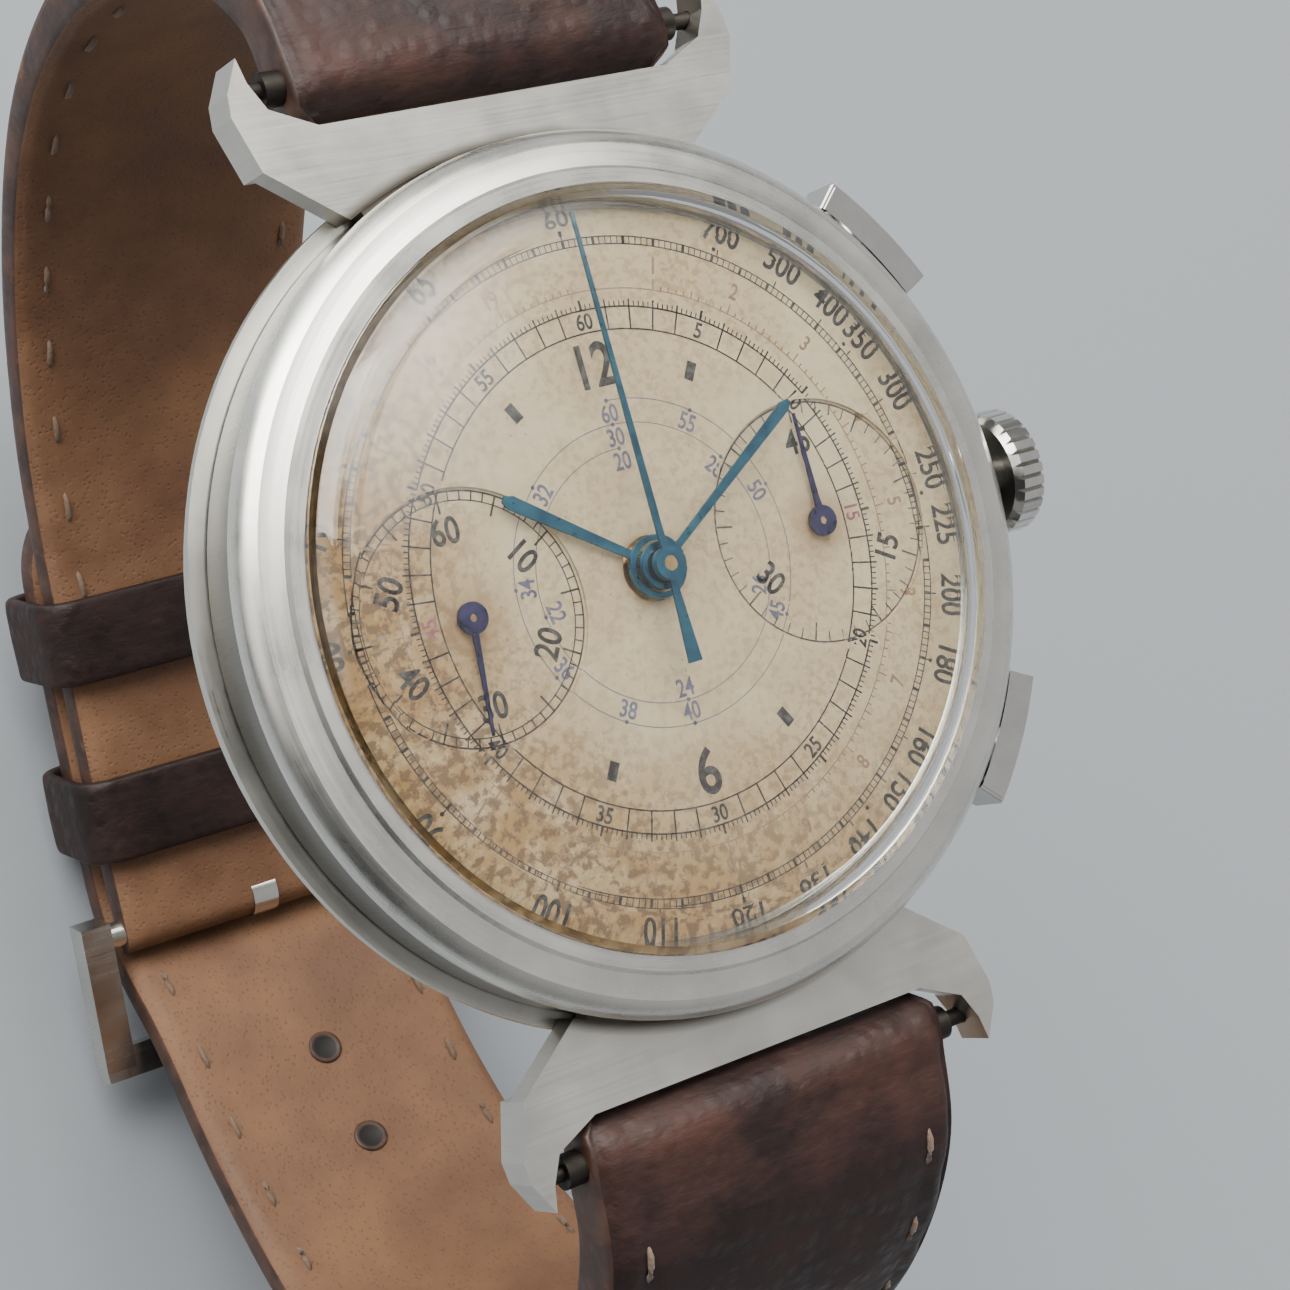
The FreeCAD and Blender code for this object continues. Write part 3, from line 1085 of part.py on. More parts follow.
def make_buckle():
    """Buckle frame with its bar, the tongue, and the two keepers that hold the tail."""
    frame = new_body("buckle_frame", 0.0, BUCKLE_SPOT[0], BUCKLE_SPOT[1])
    pad(frame, [("circle", 0.7, 0.0, 0.0)], -9.6, 9.6, "YZ_Plane")
    for start in (-10.2, 8.6):
        pad(frame, [strip([(0.9, 0.2), (-6.8, -1.8)], 0.8)], start, start + 1.6, "YZ_Plane")
    pad(frame, [strip([(-5.8, -1.8), (-7.4, -1.8)], 0.8)], -10.2, 10.2, "YZ_Plane")

    tongue = new_body("buckle_tongue", 0.0, BUCKLE_SPOT[0], BUCKLE_SPOT[1])
    pad(tongue, [("circle", 1.25, 0.0, 0.0)], -0.7, 0.7, "YZ_Plane")
    prong = [(-0.8, -0.9), (-2.4, -2.6), (-4.6, -3.1), (-7.6, -3.1)]
    pad(tongue, [strip(prong, 0.38)], -0.6, 0.6, "YZ_Plane")
    pocket(tongue, [("circle", 0.75, 0.0, 0.0)], -0.8, 0.8, "YZ_Plane")

    slope = math.degrees(math.atan(RUN_SLOPE))
    for label, y in (("keeper_fixed", -4.6), ("keeper_free", 4.6)):
        middle = run_point((INNER_RUN + OUTER_RUN) / 2, y)
        body = new_body(label)
        body.Placement = Placement(Vector(0, *middle), Rotation(Vector(1, 0, 0), slope))
        inside = (number("strap_width") / 2 + 0.15, 2.85)
        outside = (inside[0] + 0.85, inside[1] + 0.8)
        loops = []
        for half_x, half_z in (outside, inside):
            loops.append([(-half_x, -half_z), (half_x, -half_z), (half_x, half_z), (-half_x, half_z)])
        pad(body, loops, -2.2, 2.2, "XZ_Plane")


# ------------------------------------------------------------------ build, test and write

def build_all():
    for make in (make_case_middle, make_bezel, make_crystal, make_case_back, make_lug_hoods,
                 make_spring_bars, make_crown_group, make_pushers, make_dial, make_hands, make_main_plate,
                 make_bridges, make_jewels, make_screws, make_train, make_escapement, make_motion_work,
                 make_winding_work, make_chronograph_work, make_strap, make_buckle):
        make()
        document.recompute()


def check_all():
    """Stop if a feature failed or a sub-part's shape is missing or invalid."""
    for item in document.Objects:
        if "Invalid" in item.State or "Error" in item.State:
            raise ValueError(item.Label + " failed: " + str(item.State))


def sub_parts():
    return [item for item in document.Objects
            if item.TypeId == "PartDesign::Body" or item.TypeId == "Part::Feature"]


def write_all():
    os.makedirs("parts", exist_ok=True)
    for item in sub_parts():
        shape = item.Shape
        if shape.isNull() or not shape.isValid():
            raise ValueError(item.Label + " has no valid shape")
        shape.exportStep("parts/" + item.Label + ".step")
        print(item.Label, len(shape.Solids), "solids", round(shape.Volume, 3), "mm3")
    print(len(sub_parts()), "nodes")


build_all()
check_all()
write_all()
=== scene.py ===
"""The looks of a wrist chronograph: steel case, aged dial, blued hands, movement and leather strap.

Lengths are in millimetres until they reach Blender, which works in metres.
"""

import json
import math

import bmesh
import bpy
from mathutils import Matrix, Vector, noise


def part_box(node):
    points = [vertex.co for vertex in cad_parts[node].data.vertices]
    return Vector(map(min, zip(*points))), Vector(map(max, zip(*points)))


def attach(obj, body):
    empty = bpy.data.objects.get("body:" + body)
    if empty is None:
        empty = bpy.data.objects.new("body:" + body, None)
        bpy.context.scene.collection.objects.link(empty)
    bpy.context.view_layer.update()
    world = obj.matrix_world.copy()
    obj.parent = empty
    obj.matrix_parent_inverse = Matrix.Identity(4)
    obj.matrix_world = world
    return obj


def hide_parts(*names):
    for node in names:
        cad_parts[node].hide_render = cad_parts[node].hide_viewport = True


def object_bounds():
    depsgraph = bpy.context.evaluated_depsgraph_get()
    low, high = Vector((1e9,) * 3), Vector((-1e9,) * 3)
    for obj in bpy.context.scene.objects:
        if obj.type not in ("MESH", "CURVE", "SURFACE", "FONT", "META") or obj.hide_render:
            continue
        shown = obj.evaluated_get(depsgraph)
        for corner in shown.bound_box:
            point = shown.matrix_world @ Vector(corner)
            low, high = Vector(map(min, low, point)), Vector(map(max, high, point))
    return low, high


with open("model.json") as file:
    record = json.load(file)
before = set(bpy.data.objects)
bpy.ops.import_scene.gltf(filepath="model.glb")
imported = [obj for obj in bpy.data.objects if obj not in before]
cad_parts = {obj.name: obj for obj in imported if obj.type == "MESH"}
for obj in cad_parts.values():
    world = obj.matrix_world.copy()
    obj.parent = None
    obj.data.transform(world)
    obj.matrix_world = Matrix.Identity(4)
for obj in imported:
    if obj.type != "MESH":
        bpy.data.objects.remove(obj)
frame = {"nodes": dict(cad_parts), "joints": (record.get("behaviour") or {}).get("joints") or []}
CAD_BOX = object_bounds()
MM = 0.001


# ------------------------------ sizes

def low(node, axis):
    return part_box(node)[0][axis] / MM


def high(node, axis):
    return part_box(node)[1][axis] / MM


def joint_point(name):
    joint = next(item for item in frame["joints"] if item["name"] == name)
    return Vector(joint["pos_m"]) / MM


X, Y, Z = range(3)

# sizes that no box in the frame gives: the spring bars, the sunk subdials, the lug hoods' edge at the strap
BAR_RADIUS = 0.7
SUBDIAL_RADIUS, SUBDIAL_DEPTH = 4.99, 0.15
HOOD_EDGE, HOOD_HALF_WIDTH = 19.5, 7.95

DIAL_TOP = high("dial", Z)
SECONDS_DIAL = joint_point("seconds_turn").x
COUNTER_DIAL = joint_point("minute_counter_turn").x
STRAP_WIDTH = high("strap_hole_half", X) - low("strap_hole_half", X)
BUCKLE = joint_point("buckle_frame_swing")
BAR_Y = (high("spring_bars", Y) - low("spring_bars", Y)) / 2 - BAR_RADIUS
BAR_Z = (high("spring_bars", Z) + low("spring_bars", Z)) / 2


def new_object(name, data):
    made = bpy.data.objects.new(name, data)
    bpy.context.scene.collection.objects.link(made)
    return made


# ------------------------------ materials

class Look:
    """A node material under construction, with short names for the nodes it needs most."""

    def __init__(self, name, colour, roughness, metallic=0.0, **sockets):
        self.material = bpy.data.materials.new(name)
        self.material.use_nodes = True
        self.tree = self.material.node_tree
        self.shader = self.tree.nodes["Principled BSDF"]
        self.set("Base Color", (*colour, 1.0))
        self.set("Roughness", roughness)
        self.set("Metallic", metallic)
        for socket, value in sockets.items():
            self.set(socket.replace("_", " "), value)
        self.place = self.node("ShaderNodeTexCoord").outputs["Object"]
        self.relief = None

    def set(self, socket, value):
        """Put a constant on the shader, or link an output to it."""
        self.feed(self.shader.inputs[socket], value)

    def feed(self, target, value):
        if isinstance(value, bpy.types.NodeSocket):
            self.tree.links.new(value, target)
        else:
            target.default_value = value

    def node(self, kind, inputs=(), **settings):
        """A new node with its settings, and its inputs in order or by name."""
        made = self.tree.nodes.new(kind)
        for name, value in settings.items():
            setattr(made, name, value)
        named = inputs if isinstance(inputs, dict) else dict(enumerate(inputs))
        for key, value in named.items():
            self.feed(made.inputs[key], value)
        return made

    def math(self, operation, first, second=0.0, clamp=False):
        return self.node("ShaderNodeMath", (first, second), operation=operation, use_clamp=clamp).outputs[0]

    def times(self, first, second):
        return self.math("MULTIPLY", first, second)

    def vector(self, x, y, z):
        return self.node("ShaderNodeCombineXYZ", (x, y, z)).outputs[0]

    def parts(self):
        """The three coordinates of the place, in metres."""
        return self.node("ShaderNodeSeparateXYZ", (self.place,)).outputs[:]

    def stretched(self, x, y, z):
        """The place, scaled differently along the three axes."""
        return self.node("ShaderNodeVectorMath", (self.place, (x, y, z)), operation="MULTIPLY").outputs[0]

    def polar(self, x0=0.0, y0=0.0):
        """Distance from an upright axis in metres, the angle round it, and the height."""
        x, y, z = self.parts()
        x = self.math("SUBTRACT", x, x0)
        y = self.math("SUBTRACT", y, y0)
        squares = self.math("ADD", self.times(x, x), self.times(y, y))
        return self.math("SQRT", squares), self.math("ARCTAN2", y, x), z

    def noise(self, scale, detail=3.0, rough=0.5, place=None):
        inputs = {"Vector": place or self.place, "Scale": scale, "Detail": detail, "Roughness": rough}
        return self.node("ShaderNodeTexNoise", inputs).outputs["Fac"]

    def cells(self, scale, feature="F1", place=None):
        inputs = {"Vector": place or self.place, "Scale": scale}
        return self.node("ShaderNodeTexVoronoi", inputs, feature=feature).outputs["Distance"]

    def span(self, value, start, end, to_start=0.0, to_end=1.0):
        """Map a stretch of values onto another, held at its ends."""
        return self.node("ShaderNodeMapRange", (value, start, end, to_start, to_end)).outputs[0]

    def mix(self, share, first, second):
        """From the first colour to the second by a share."""
        inputs = {"Factor": share}
        for socket, colour in ((6, first), (7, second)):
            inputs[socket] = (*colour, 1.0) if isinstance(colour, tuple) else colour
        return self.node("ShaderNodeMix", inputs, data_type="RGBA").outputs[2]

    def over(self, base, colour, share, strength):
        """Lay a colour over what is there, by a share of its strength."""
        return self.mix(self.times(share, strength), base, colour)

    def paint(self, pattern, start, end, first, second):
        """Paint the whole surface between two colours, by a pattern's value from start to end."""
        self.set("Base Color", self.mix(self.span(pattern, start, end), first, second))

    def gloss(self, pattern, start, end, smooth, rough):
        """Roughness between two values, by a pattern's value from start to end."""
        self.set("Roughness", self.span(pattern, start, end, smooth, rough))

    def bump(self, height, depth, strength=1.0):
        """Add relief: height from 0 to 1 stands depth millimetres high."""
        inputs = {"Strength": strength, "Distance": depth * MM, "Height": height}
        if self.relief:
            inputs["Normal"] = self.relief
        self.relief = self.node("ShaderNodeBump", inputs).outputs[0]
        self.set("Normal", self.relief)


def brushed(look, kind, fine=9000.0, coarse=160.0):
    """Grain for a brushed face: lines round the axis, up the wall, along X, or else along Y."""
    if kind == "round":
        per_radian = 2.0
        distance, angle, z = look.polar()
        place = look.vector(look.times(distance, fine), look.times(angle, per_radian), look.times(z, fine))
    elif kind == "wall":
        per_radian = 150.0
        angle, z = look.polar()[1:]
        place = look.vector(look.times(angle, per_radian), look.times(z, coarse), 0.0)
    elif kind == "along_x":
        place = look.stretched(coarse, fine, coarse)
    else:
        place = look.stretched(fine, coarse, coarse)
    return look.noise(1.0, 4.0, 0.6, place)


def darker(colour, share):
    return tuple(share * part for part in colour)


def steel(name, colour, roughness, grain, depth=0.0009, marks=0.35, crevice_shade=None):
    """Worn case steel: grain, blotches, scratches, dings, and, if asked, painted shade as in a crevice,
    fading out between two radii.
    """
    look = Look(name, colour, roughness, 1.0)
    lines = brushed(look, grain)
    blotch = look.noise(260.0, 4.0, 0.6)
    shade = look.mix(look.span(blotch, 0.35, 0.7), darker(colour, 0.86), colour)
    shade = look.mix(look.span(lines, 0.3, 0.75, 0.0, 0.25), shade, darker(colour, 0.72))
    if crevice_shade:
        inner, outer = crevice_shade
        # painted shade: dark at the inner radius, as in a crevice, fading to none at the outer radius
        crevice_share = look.span(look.polar()[0], inner * MM, outer * MM, 0.9, 0.0)
        shade = look.mix(crevice_share, shade, (0.07, 0.055, 0.04))
    look.set("Base Color", shade)
    grain_part = look.span(lines, 0.2, 0.8, -0.06, 0.09)
    worn = look.math("ADD", grain_part, look.span(blotch, 0.3, 0.75, -0.05, 0.07))
    look.set("Roughness", look.math("ADD", worn, roughness, clamp=True))
    look.bump(lines, depth)
    scratches = look.cells(900.0, "DISTANCE_TO_EDGE", look.stretched(1.0, 0.24, 0.6))
    look.bump(look.span(scratches, 0.0, 0.03), 0.8 * depth, marks)
    ding_depth = 0.004
    look.bump(look.span(look.cells(330.0), 0.03, 0.11), ding_depth, marks)
    return look.material


def polished(name, colour, roughness=0.12):
    """Polished steel with a smeared, slightly uneven shine."""
    look = Look(name, colour, roughness, 1.0)
    smear = look.noise(700.0, 5.0, 0.65)
    look.gloss(smear, 0.3, 0.75, roughness * 0.7, roughness * 1.8)
    look.paint(smear, 0.4, 0.8, colour, darker(colour, 0.82))
    look.bump(look.noise(2600.0, 4.0), 0.0006)
    return look.material


def blued(name):
    """Heat-blued steel, lighter in patches and brushed along the hand."""
    look = Look(name, (0.03, 0.13, 0.22), 0.34, 0.85)
    look.paint(look.noise(900.0, 3.0), 0.35, 0.7, (0.022, 0.105, 0.185), (0.055, 0.21, 0.30))
    look.gloss(look.noise(3000.0, 4.0), 0.3, 0.7, 0.26, 0.48)
    look.bump(brushed(look, "along_y", 16000.0, 900.0), 0.0005)
    return look.material


def boss_blue(name):
    """The darker, more violet blue of the small hands."""
    look = Look(name, (0.05, 0.05, 0.12), 0.3, 0.8)
    tone = look.noise(1500.0, 3.0)
    look.paint(tone, 0.35, 0.7, (0.03, 0.035, 0.09), (0.09, 0.08, 0.2))
    look.gloss(tone, 0.3, 0.7, 0.22, 0.42)
    return look.material


def nickel_plate(name):
    """A plated bridge with broad polishing stripes and fine streaks."""
    look = Look(name, (0.62, 0.59, 0.52), 0.3, 1.0)
    stripe_x, stripe_y, stripes_per_metre = 0.8, 0.6, 560.0
    x, y = look.parts()[:2]
    across = look.math("ADD", look.times(x, stripe_x), look.times(y, stripe_y))
    wave = look.math("FRACT", look.times(across, stripes_per_metre))
    stripe = look.math("PINGPONG", wave, 0.5)
    streaks = look.noise(1.0, 3.0, 0.5, look.stretched(7000.0, 900.0, 900.0))
    look.paint(stripe, 0.0, 0.5, (0.5, 0.47, 0.41), (0.72, 0.69, 0.62))
    satin = look.span(wave, 0.0, 1.0, 0.16, 0.34)
    look.set("Roughness", look.math("ADD", satin, look.span(streaks, 0.3, 0.7, 0.0, 0.08)))
    look.bump(wave, 0.004)
    look.bump(streaks, 0.0008)
    return look.material


def gilt_wheel(name):
    """Gilt brass with darker patches and fine lines along Y."""
    look = Look(name, (0.78, 0.56, 0.25), 0.28, 1.0)
    patches = look.noise(1200.0, 4.0)
    look.paint(patches, 0.35, 0.7, (0.66, 0.45, 0.19), (0.86, 0.65, 0.33))
    look.gloss(patches, 0.3, 0.7, 0.2, 0.38)
    look.bump(look.noise(1.0, 3.0, 0.5, look.stretched(2500.0, 15000.0, 2500.0)), 0.0007)
    return look.material


def ruby(name):
    """The clear dark pink of a watch jewel."""
    look = Look(name, (0.55, 0.015, 0.07), 0.06, IOR=1.76, Transmission_Weight=0.55)
    look.set("Base Color", look.mix(look.noise(3000.0, 2.0), (0.42, 0.01, 0.05), (0.66, 0.03, 0.11)))
    return look.material


def acrylic(name):
    """The clear domed crystal, with hairline scratches and a little haze."""
    look = Look(name, (0.985, 0.985, 0.97), 0.02, IOR=1.49, Transmission_Weight=1.0)
    hairs = look.cells(260.0, "DISTANCE_TO_EDGE", look.stretched(1.0, 0.35, 1.0))
    look.gloss(look.noise(420.0, 4.0, 0.6), 0.4, 0.8, 0.0, 0.05)
    look.bump(look.span(hairs, 0.0, 0.012), 0.0006, 0.4)
    return look.material


CREAM, OLD_CREAM, TAN = (0.81, 0.69, 0.455), (0.70, 0.555, 0.33), (0.60, 0.44, 0.235)
SPECKLE, PATINA, STIPPLE = (0.42, 0.265, 0.115), (0.46, 0.27, 0.095), (0.20, 0.115, 0.055)
STAIN, FRECKLE, SPOT = (0.40, 0.24, 0.11), (0.24, 0.14, 0.07), (0.26, 0.15, 0.08)


def aged_dial(name):
    """Cream lacquer gone tan at its edge, with brown freckles and stains round the hand posts."""
    look = Look(name, (0.7, 0.62, 0.48), 0.5, Coat_Weight=0.12, Coat_Roughness=0.35)
    x, y = look.parts()[:2]
    distance = look.polar()[0]
    wide = look.noise(140.0, 5.0, 0.62)
    cloud = look.noise(430.0, 5.0, 0.6)
    base = look.mix(look.span(wide, 0.36, 0.66), CREAM, OLD_CREAM)
    base = look.mix(look.span(cloud, 0.45, 0.75, 0.0, 0.45), base, TAN)
    speckle = look.span(look.noise(2900.0, 3.0, 0.6), 0.47, 0.60)
    speckle = look.times(speckle, look.span(wide, 0.3, 0.7))
    base = look.over(base, SPECKLE, speckle, 0.6)
    base = add_patina(look, base, x, y, distance)
    base = add_stains(look, base, cloud)
    base, freckles = add_freckles(look, base, x)
    look.set("Base Color", base)
    look.gloss(cloud, 0.3, 0.7, 0.4, 0.62)
    look.bump(look.noise(5200.0, 4.0, 0.6), 0.003)
    look.bump(freckles, 0.004)
    return look.material


def add_patina(look, base, x, y, distance):
    """The rim has yellowed and gone brown, most of all on its lower left side."""
    lower_left, lean = (-0.88, -0.48), 0.66
    start, full = 8.5, 18.0
    across, down = (look.times(*pair) for pair in zip((x, y), lower_left))
    towards = look.math("ADD", across, down)
    leaning = look.math("ADD", distance, look.times(towards, lean))
    rim = look.span(leaning, start * MM, full * MM)
    ragged = look.times(rim, look.span(look.noise(520.0, 6.0, 0.7), 0.30, 0.56))
    base = look.over(base, PATINA, ragged, 0.95)
    stipple = look.times(rim, look.span(look.noise(2400.0, 3.0, 0.6), 0.47, 0.58))
    return look.over(base, STIPPLE, stipple, 0.85)


def add_stains(look, base, cloud):
    """Ragged tan stains round the three sets of hands."""
    inner, outer, ragged = 1.0 * MM, 1.9 * MM, 0.5 * MM
    for centre in (0.0, SECONDS_DIAL * MM, COUNTER_DIAL * MM):
        away = look.polar(centre, 0.0)[0]
        away = look.math("ADD", away, look.span(cloud, 0.3, 0.7, -ragged, ragged))
        base = look.mix(look.span(away, inner, outer, 0.5, 0.0), base, STAIN)
    return base


def add_freckles(look, base, x):
    """A fine scatter and some larger spots, both thicker towards the left; also returns the fine ones."""
    left = look.span(x, 9.0 * MM, -15.0 * MM, 0.15, 1.0)
    fine = look.span(look.cells(2300.0), 0.10, 0.17, 1.0, 0.0)
    patchy = look.span(look.noise(620.0, 4.0, 0.65), 0.46, 0.62)
    fine = look.times(look.times(fine, patchy), left)
    base = look.over(base, FRECKLE, fine, 0.75)
    spots = look.span(look.cells(780.0), 0.07, 0.12, 1.0, 0.0)
    spots = look.times(spots, look.span(look.noise(300.0), 0.5, 0.6))
    spots = look.times(spots, left)
    return look.over(base, SPOT, spots, 0.7), fine


def ink(name, colour, worn=0.4):
    """Printing ink, broken up a little where it has rubbed."""
    look = Look(name, colour, 0.6)
    rubbed = look.span(look.noise(2600.0, 5.0, 0.7), 0.44, 0.72)
    pale = tuple(part + (0.6 - part) * worn for part in colour)
    look.set("Base Color", look.mix(rubbed, colour, pale))
    look.bump(look.noise(9000.0, 3.0), 0.002)
    return look.material


def leather(name):
    """Dark brown calf: soft pebbled grain, creases, redder along the fold beside the hood, as wear there plus
    a painted highlight on top of the fold.
    """
    look = Look(name, (0.03, 0.015, 0.012), 0.5, Specular_IOR_Level=0.32)
    fold_low, fold_high = 4.9, 6.2
    z = look.parts()[2]
    soft = look.noise(240.0, 5.0, 0.6)
    creases = look.noise(1.0, 5.0, 0.62, look.stretched(170.0, 560.0, 560.0))
    pebbles = look.cells(1250.0)
    colour = look.mix(look.span(soft, 0.35, 0.68), (0.010, 0.0052, 0.0050), (0.026, 0.0120, 0.0100))
    colour = look.mix(look.span(creases, 0.56, 0.76, 0.0, 0.55), colour, (0.052, 0.022, 0.017))
    # painted highlight and wear: the leather is lighter and redder between these heights, on top of the fold
    fold = look.span(z, fold_low * MM, fold_high * MM)
    fold = look.times(fold, look.span(soft, 0.38, 0.62, 0.1, 0.9))
    colour = look.mix(fold, colour, (0.060, 0.0235, 0.0165))
    look.set("Base Color", colour)
    rough = look.math("ADD", look.span(soft, 0.3, 0.7, 0.38, 0.55), look.span(pebbles, 0.2, 0.6, 0.0, 0.1))
    look.set("Roughness", rough)
    look.bump(creases, 0.14)
    look.bump(look.span(pebbles, 0.05, 0.55, 1.0, 0.0), 0.035)
    look.bump(look.noise(4200.0, 4.0), 0.014)
    return look.material


def lining(name):
    """Plain tan lining leather with open pores and darker sweat marks."""
    look = Look(name, (0.17, 0.085, 0.04), 0.66)
    patches = look.noise(170.0, 5.0, 0.6)
    pores = look.cells(3600.0)
    colour = look.mix(look.span(patches, 0.35, 0.68), (0.125, 0.056, 0.026), (0.215, 0.108, 0.052))
    look.set("Base Color", look.mix(look.span(pores, 0.1, 0.3, 0.5, 0.0), colour, (0.08, 0.038, 0.02)))
    look.gloss(patches, 0.3, 0.7, 0.55, 0.78)
    look.bump(look.span(pores, 0.1, 0.4), 0.02)
    look.bump(look.noise(2600.0, 5.0, 0.6), 0.02)
    return look.material


def cut_edge(name):
    """The strap's side: layers of leather under worn brown edge paint."""
    look = Look(name, (0.05, 0.024, 0.016), 0.55)
    layers = look.noise(1.0, 4.0, 0.6, look.stretched(900.0, 500.0, 500.0))
    worn = look.noise(520.0, 5.0, 0.7)
    colour = look.mix(look.span(layers, 0.4, 0.62), (0.030, 0.014, 0.010), (0.070, 0.032, 0.020))
    look.paint(worn, 0.58, 0.72, colour, (0.17, 0.08, 0.042))
    look.gloss(worn, 0.3, 0.7, 0.42, 0.72)
    look.bump(layers, 0.05)
    return look.material


def thread(name):
    """Twisted tan thread."""
    look = Look(name, (0.14, 0.09, 0.06), 0.75, Sheen_Weight=0.2)
    twist = look.noise(1.0, 2.0, 0.5, look.stretched(6000.0, 9000.0, 9000.0))
    look.set("Base Color", look.mix(twist, (0.085, 0.050, 0.032), (0.21, 0.14, 0.09)))
    look.bump(twist, 0.03)
    return look.material


STEEL = (0.70, 0.69, 0.635)
LOOKS = {
    # painted shade: the case's side is steel drawn much darker than the rest, as if in shade
    "shaded_case_wall": steel("shaded_case_wall", (0.25, 0.243, 0.225), 0.32, "wall", 0.0016),
    "case_round": steel("case_round", STEEL, 0.33, "round"),
    "bezel": steel("bezel_steel", (0.80, 0.79, 0.73), 0.27, "round", 0.0008),
    # the lugs carry painted shade in the crevice at the bezel's foot, from 17.62 mm fading out by 18.05 mm
    "lugs": steel("lug_steel", (0.66, 0.645, 0.585), 0.34, "along_x", 0.0016, crevice_shade=(17.62, 18.05)),
    "polish": polished("polished_steel", (0.68, 0.67, 0.64)),
    "buckle": steel("buckle_steel", STEEL, 0.2, "along_x", 0.0006),
    # painted shade: the spring bars are steel drawn almost black, as in the dark gap under the lug hoods
    "bars": polished("bar_steel_in_shade", (0.045, 0.040, 0.035), 0.45),
    "spring": polished("spring_steel", (0.32, 0.36, 0.46), 0.2),
    "blue": blued("blued_steel"),
    "boss": boss_blue("boss_blue"),
    "plate": nickel_plate("nickel_plate"),
    "wheel": gilt_wheel("gilt_wheel"),
    "ruby": ruby("ruby"),
    "glass": acrylic("acrylic"),
    "dial": aged_dial("aged_dial"),
    "leather": leather("brown_leather"),
    "lining": lining("tan_lining"),
    "edge": cut_edge("strap_edge"),
    "thread": thread("tan_thread"),
    "hole": ink("hole_shade", (0.006, 0.004, 0.003), 0.0),
    "black": ink("black_ink", (0.035, 0.030, 0.026), 0.25),
    "grey": ink("grey_ink", (0.085, 0.072, 0.060), 0.4),
    "tan": ink("tan_ink", (0.36, 0.22, 0.11), 0.35),
    "violet": ink("violet_ink", (0.155, 0.15, 0.235), 0.3),
    "red": ink("red_ink", (0.36, 0.13, 0.15), 0.35),
}

# every node that isn't named here is polished steel
NODE_LOOKS = {
    "shaded_case_wall": ["case_middle"],
    "case_round": ["case_back"],
    "bezel": ["bezel"],
    "lugs": ["lug_hoods"],
    "bars": ["spring_bars"],
    "buckle": ["buckle_frame", "buckle_tongue"],
    "spring": ["hairspring", "mainspring", "spring_start", "spring_reset"],
    "blue": ["hour_hand", "minute_hand", "chronograph_hand"],
    "boss": ["small_seconds_hand", "minute_counter_hand"],
    "plate": ["main_plate", "barrel_bridge", "train_bridge", "balance_cock", "pallet_cock",
              "chronograph_bridge"],
    "wheel": ["center_wheel", "third_wheel", "fourth_wheel", "mainspring_barrel", "minute_wheel",
              "hour_wheel", "balance_wheel", "driving_wheel", "coupling_wheel", "chrono_runner_wheel",
              "minute_counter_wheel", "intermediate_wheel"],
    "ruby": ["jewels"],
    "glass": ["crystal"],
    "dial": ["dial"],
    "leather": ["strap_buckle_half", "strap_hole_half", "keeper_fixed", "keeper_free"],
}
for name, node in frame["nodes"].items():
    chosen = next((look for look, nodes in NODE_LOOKS.items() if name in nodes), "polish")
    node.data.materials.clear()
    node.data.materials.append(LOOKS[chosen])


# ------------------------------ meshes

def make_piece(name, points, faces, looks, body, face_looks=None, closed=True):
    """A mesh in millimetres becomes a piece that rides on a body."""
    mesh = bpy.data.meshes.new(name)
    mesh.from_pydata([Vector(point) * MM for point in points], [], faces)
    for look in looks:
        mesh.materials.append(LOOKS[look])
    for polygon in mesh.polygons:
        polygon.use_smooth = closed
        if face_looks:
            polygon.material_index = face_looks[polygon.index]
    if closed:
        shell = bmesh.new()
        shell.from_mesh(mesh)
        bmesh.ops.recalc_face_normals(shell, faces=shell.faces)
        shell.to_mesh(mesh)
        shell.free()
    piece = new_object(name, mesh)
    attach(piece, body)
    return piece


def join_rings(faces, start, rings, sides, closed=False):
    """Add the faces between rings of points, and from the last ring to the first if it is closed."""
    for ring in range(rings if closed else rings - 1):
        row, next_row = start + ring * sides, start + (ring + 1) % rings * sides
        for step in range(sides):
            after = (step + 1) % sides
            faces.append([row + step, row + after, next_row + after, next_row + step])


def add_tube(points, faces, path, radius, sides=8, pinched=0.45):
    """Add a round tube with pinched ends along a path of points."""
    start = len(points)
    for index, place in enumerate(path):
        ahead = path[min(index + 1, len(path) - 1)] - path[max(index - 1, 0)]
        along = ahead.normalized()
        first = along.orthogonal().normalized()
        second = along.cross(first)
        size = radius * (pinched if index in (0, len(path) - 1) else 1.0)
        for step in range(sides):
            turn = math.tau * step / sides
            points.append(place + (first * math.cos(turn) + second * math.sin(turn)) * size)
    join_rings(faces, start, len(path), sides)
    last = start + (len(path) - 1) * sides
    faces += [list(reversed(range(start, start + sides))), list(range(last, last + sides))]


def rounded(share, power=2):
    """Height of a round end at a share of its reach, never quite nothing."""
    return math.sqrt(max(0.02, 1 - share ** power))


def blunt(value, power):
    """A power that keeps the sign, which squares off the curve that a sine and a cosine draw."""
    return math.copysign(abs(value) ** power, value)


# ------------------------------ printing on the dial

def dial_height(x, y):
    """Height of the dial under a point: the two subdials are sunk."""
    for centre in (SECONDS_DIAL, COUNTER_DIAL):
        if math.hypot(x - centre, y) < SUBDIAL_RADIUS:
            return DIAL_TOP - SUBDIAL_DEPTH
    return DIAL_TOP


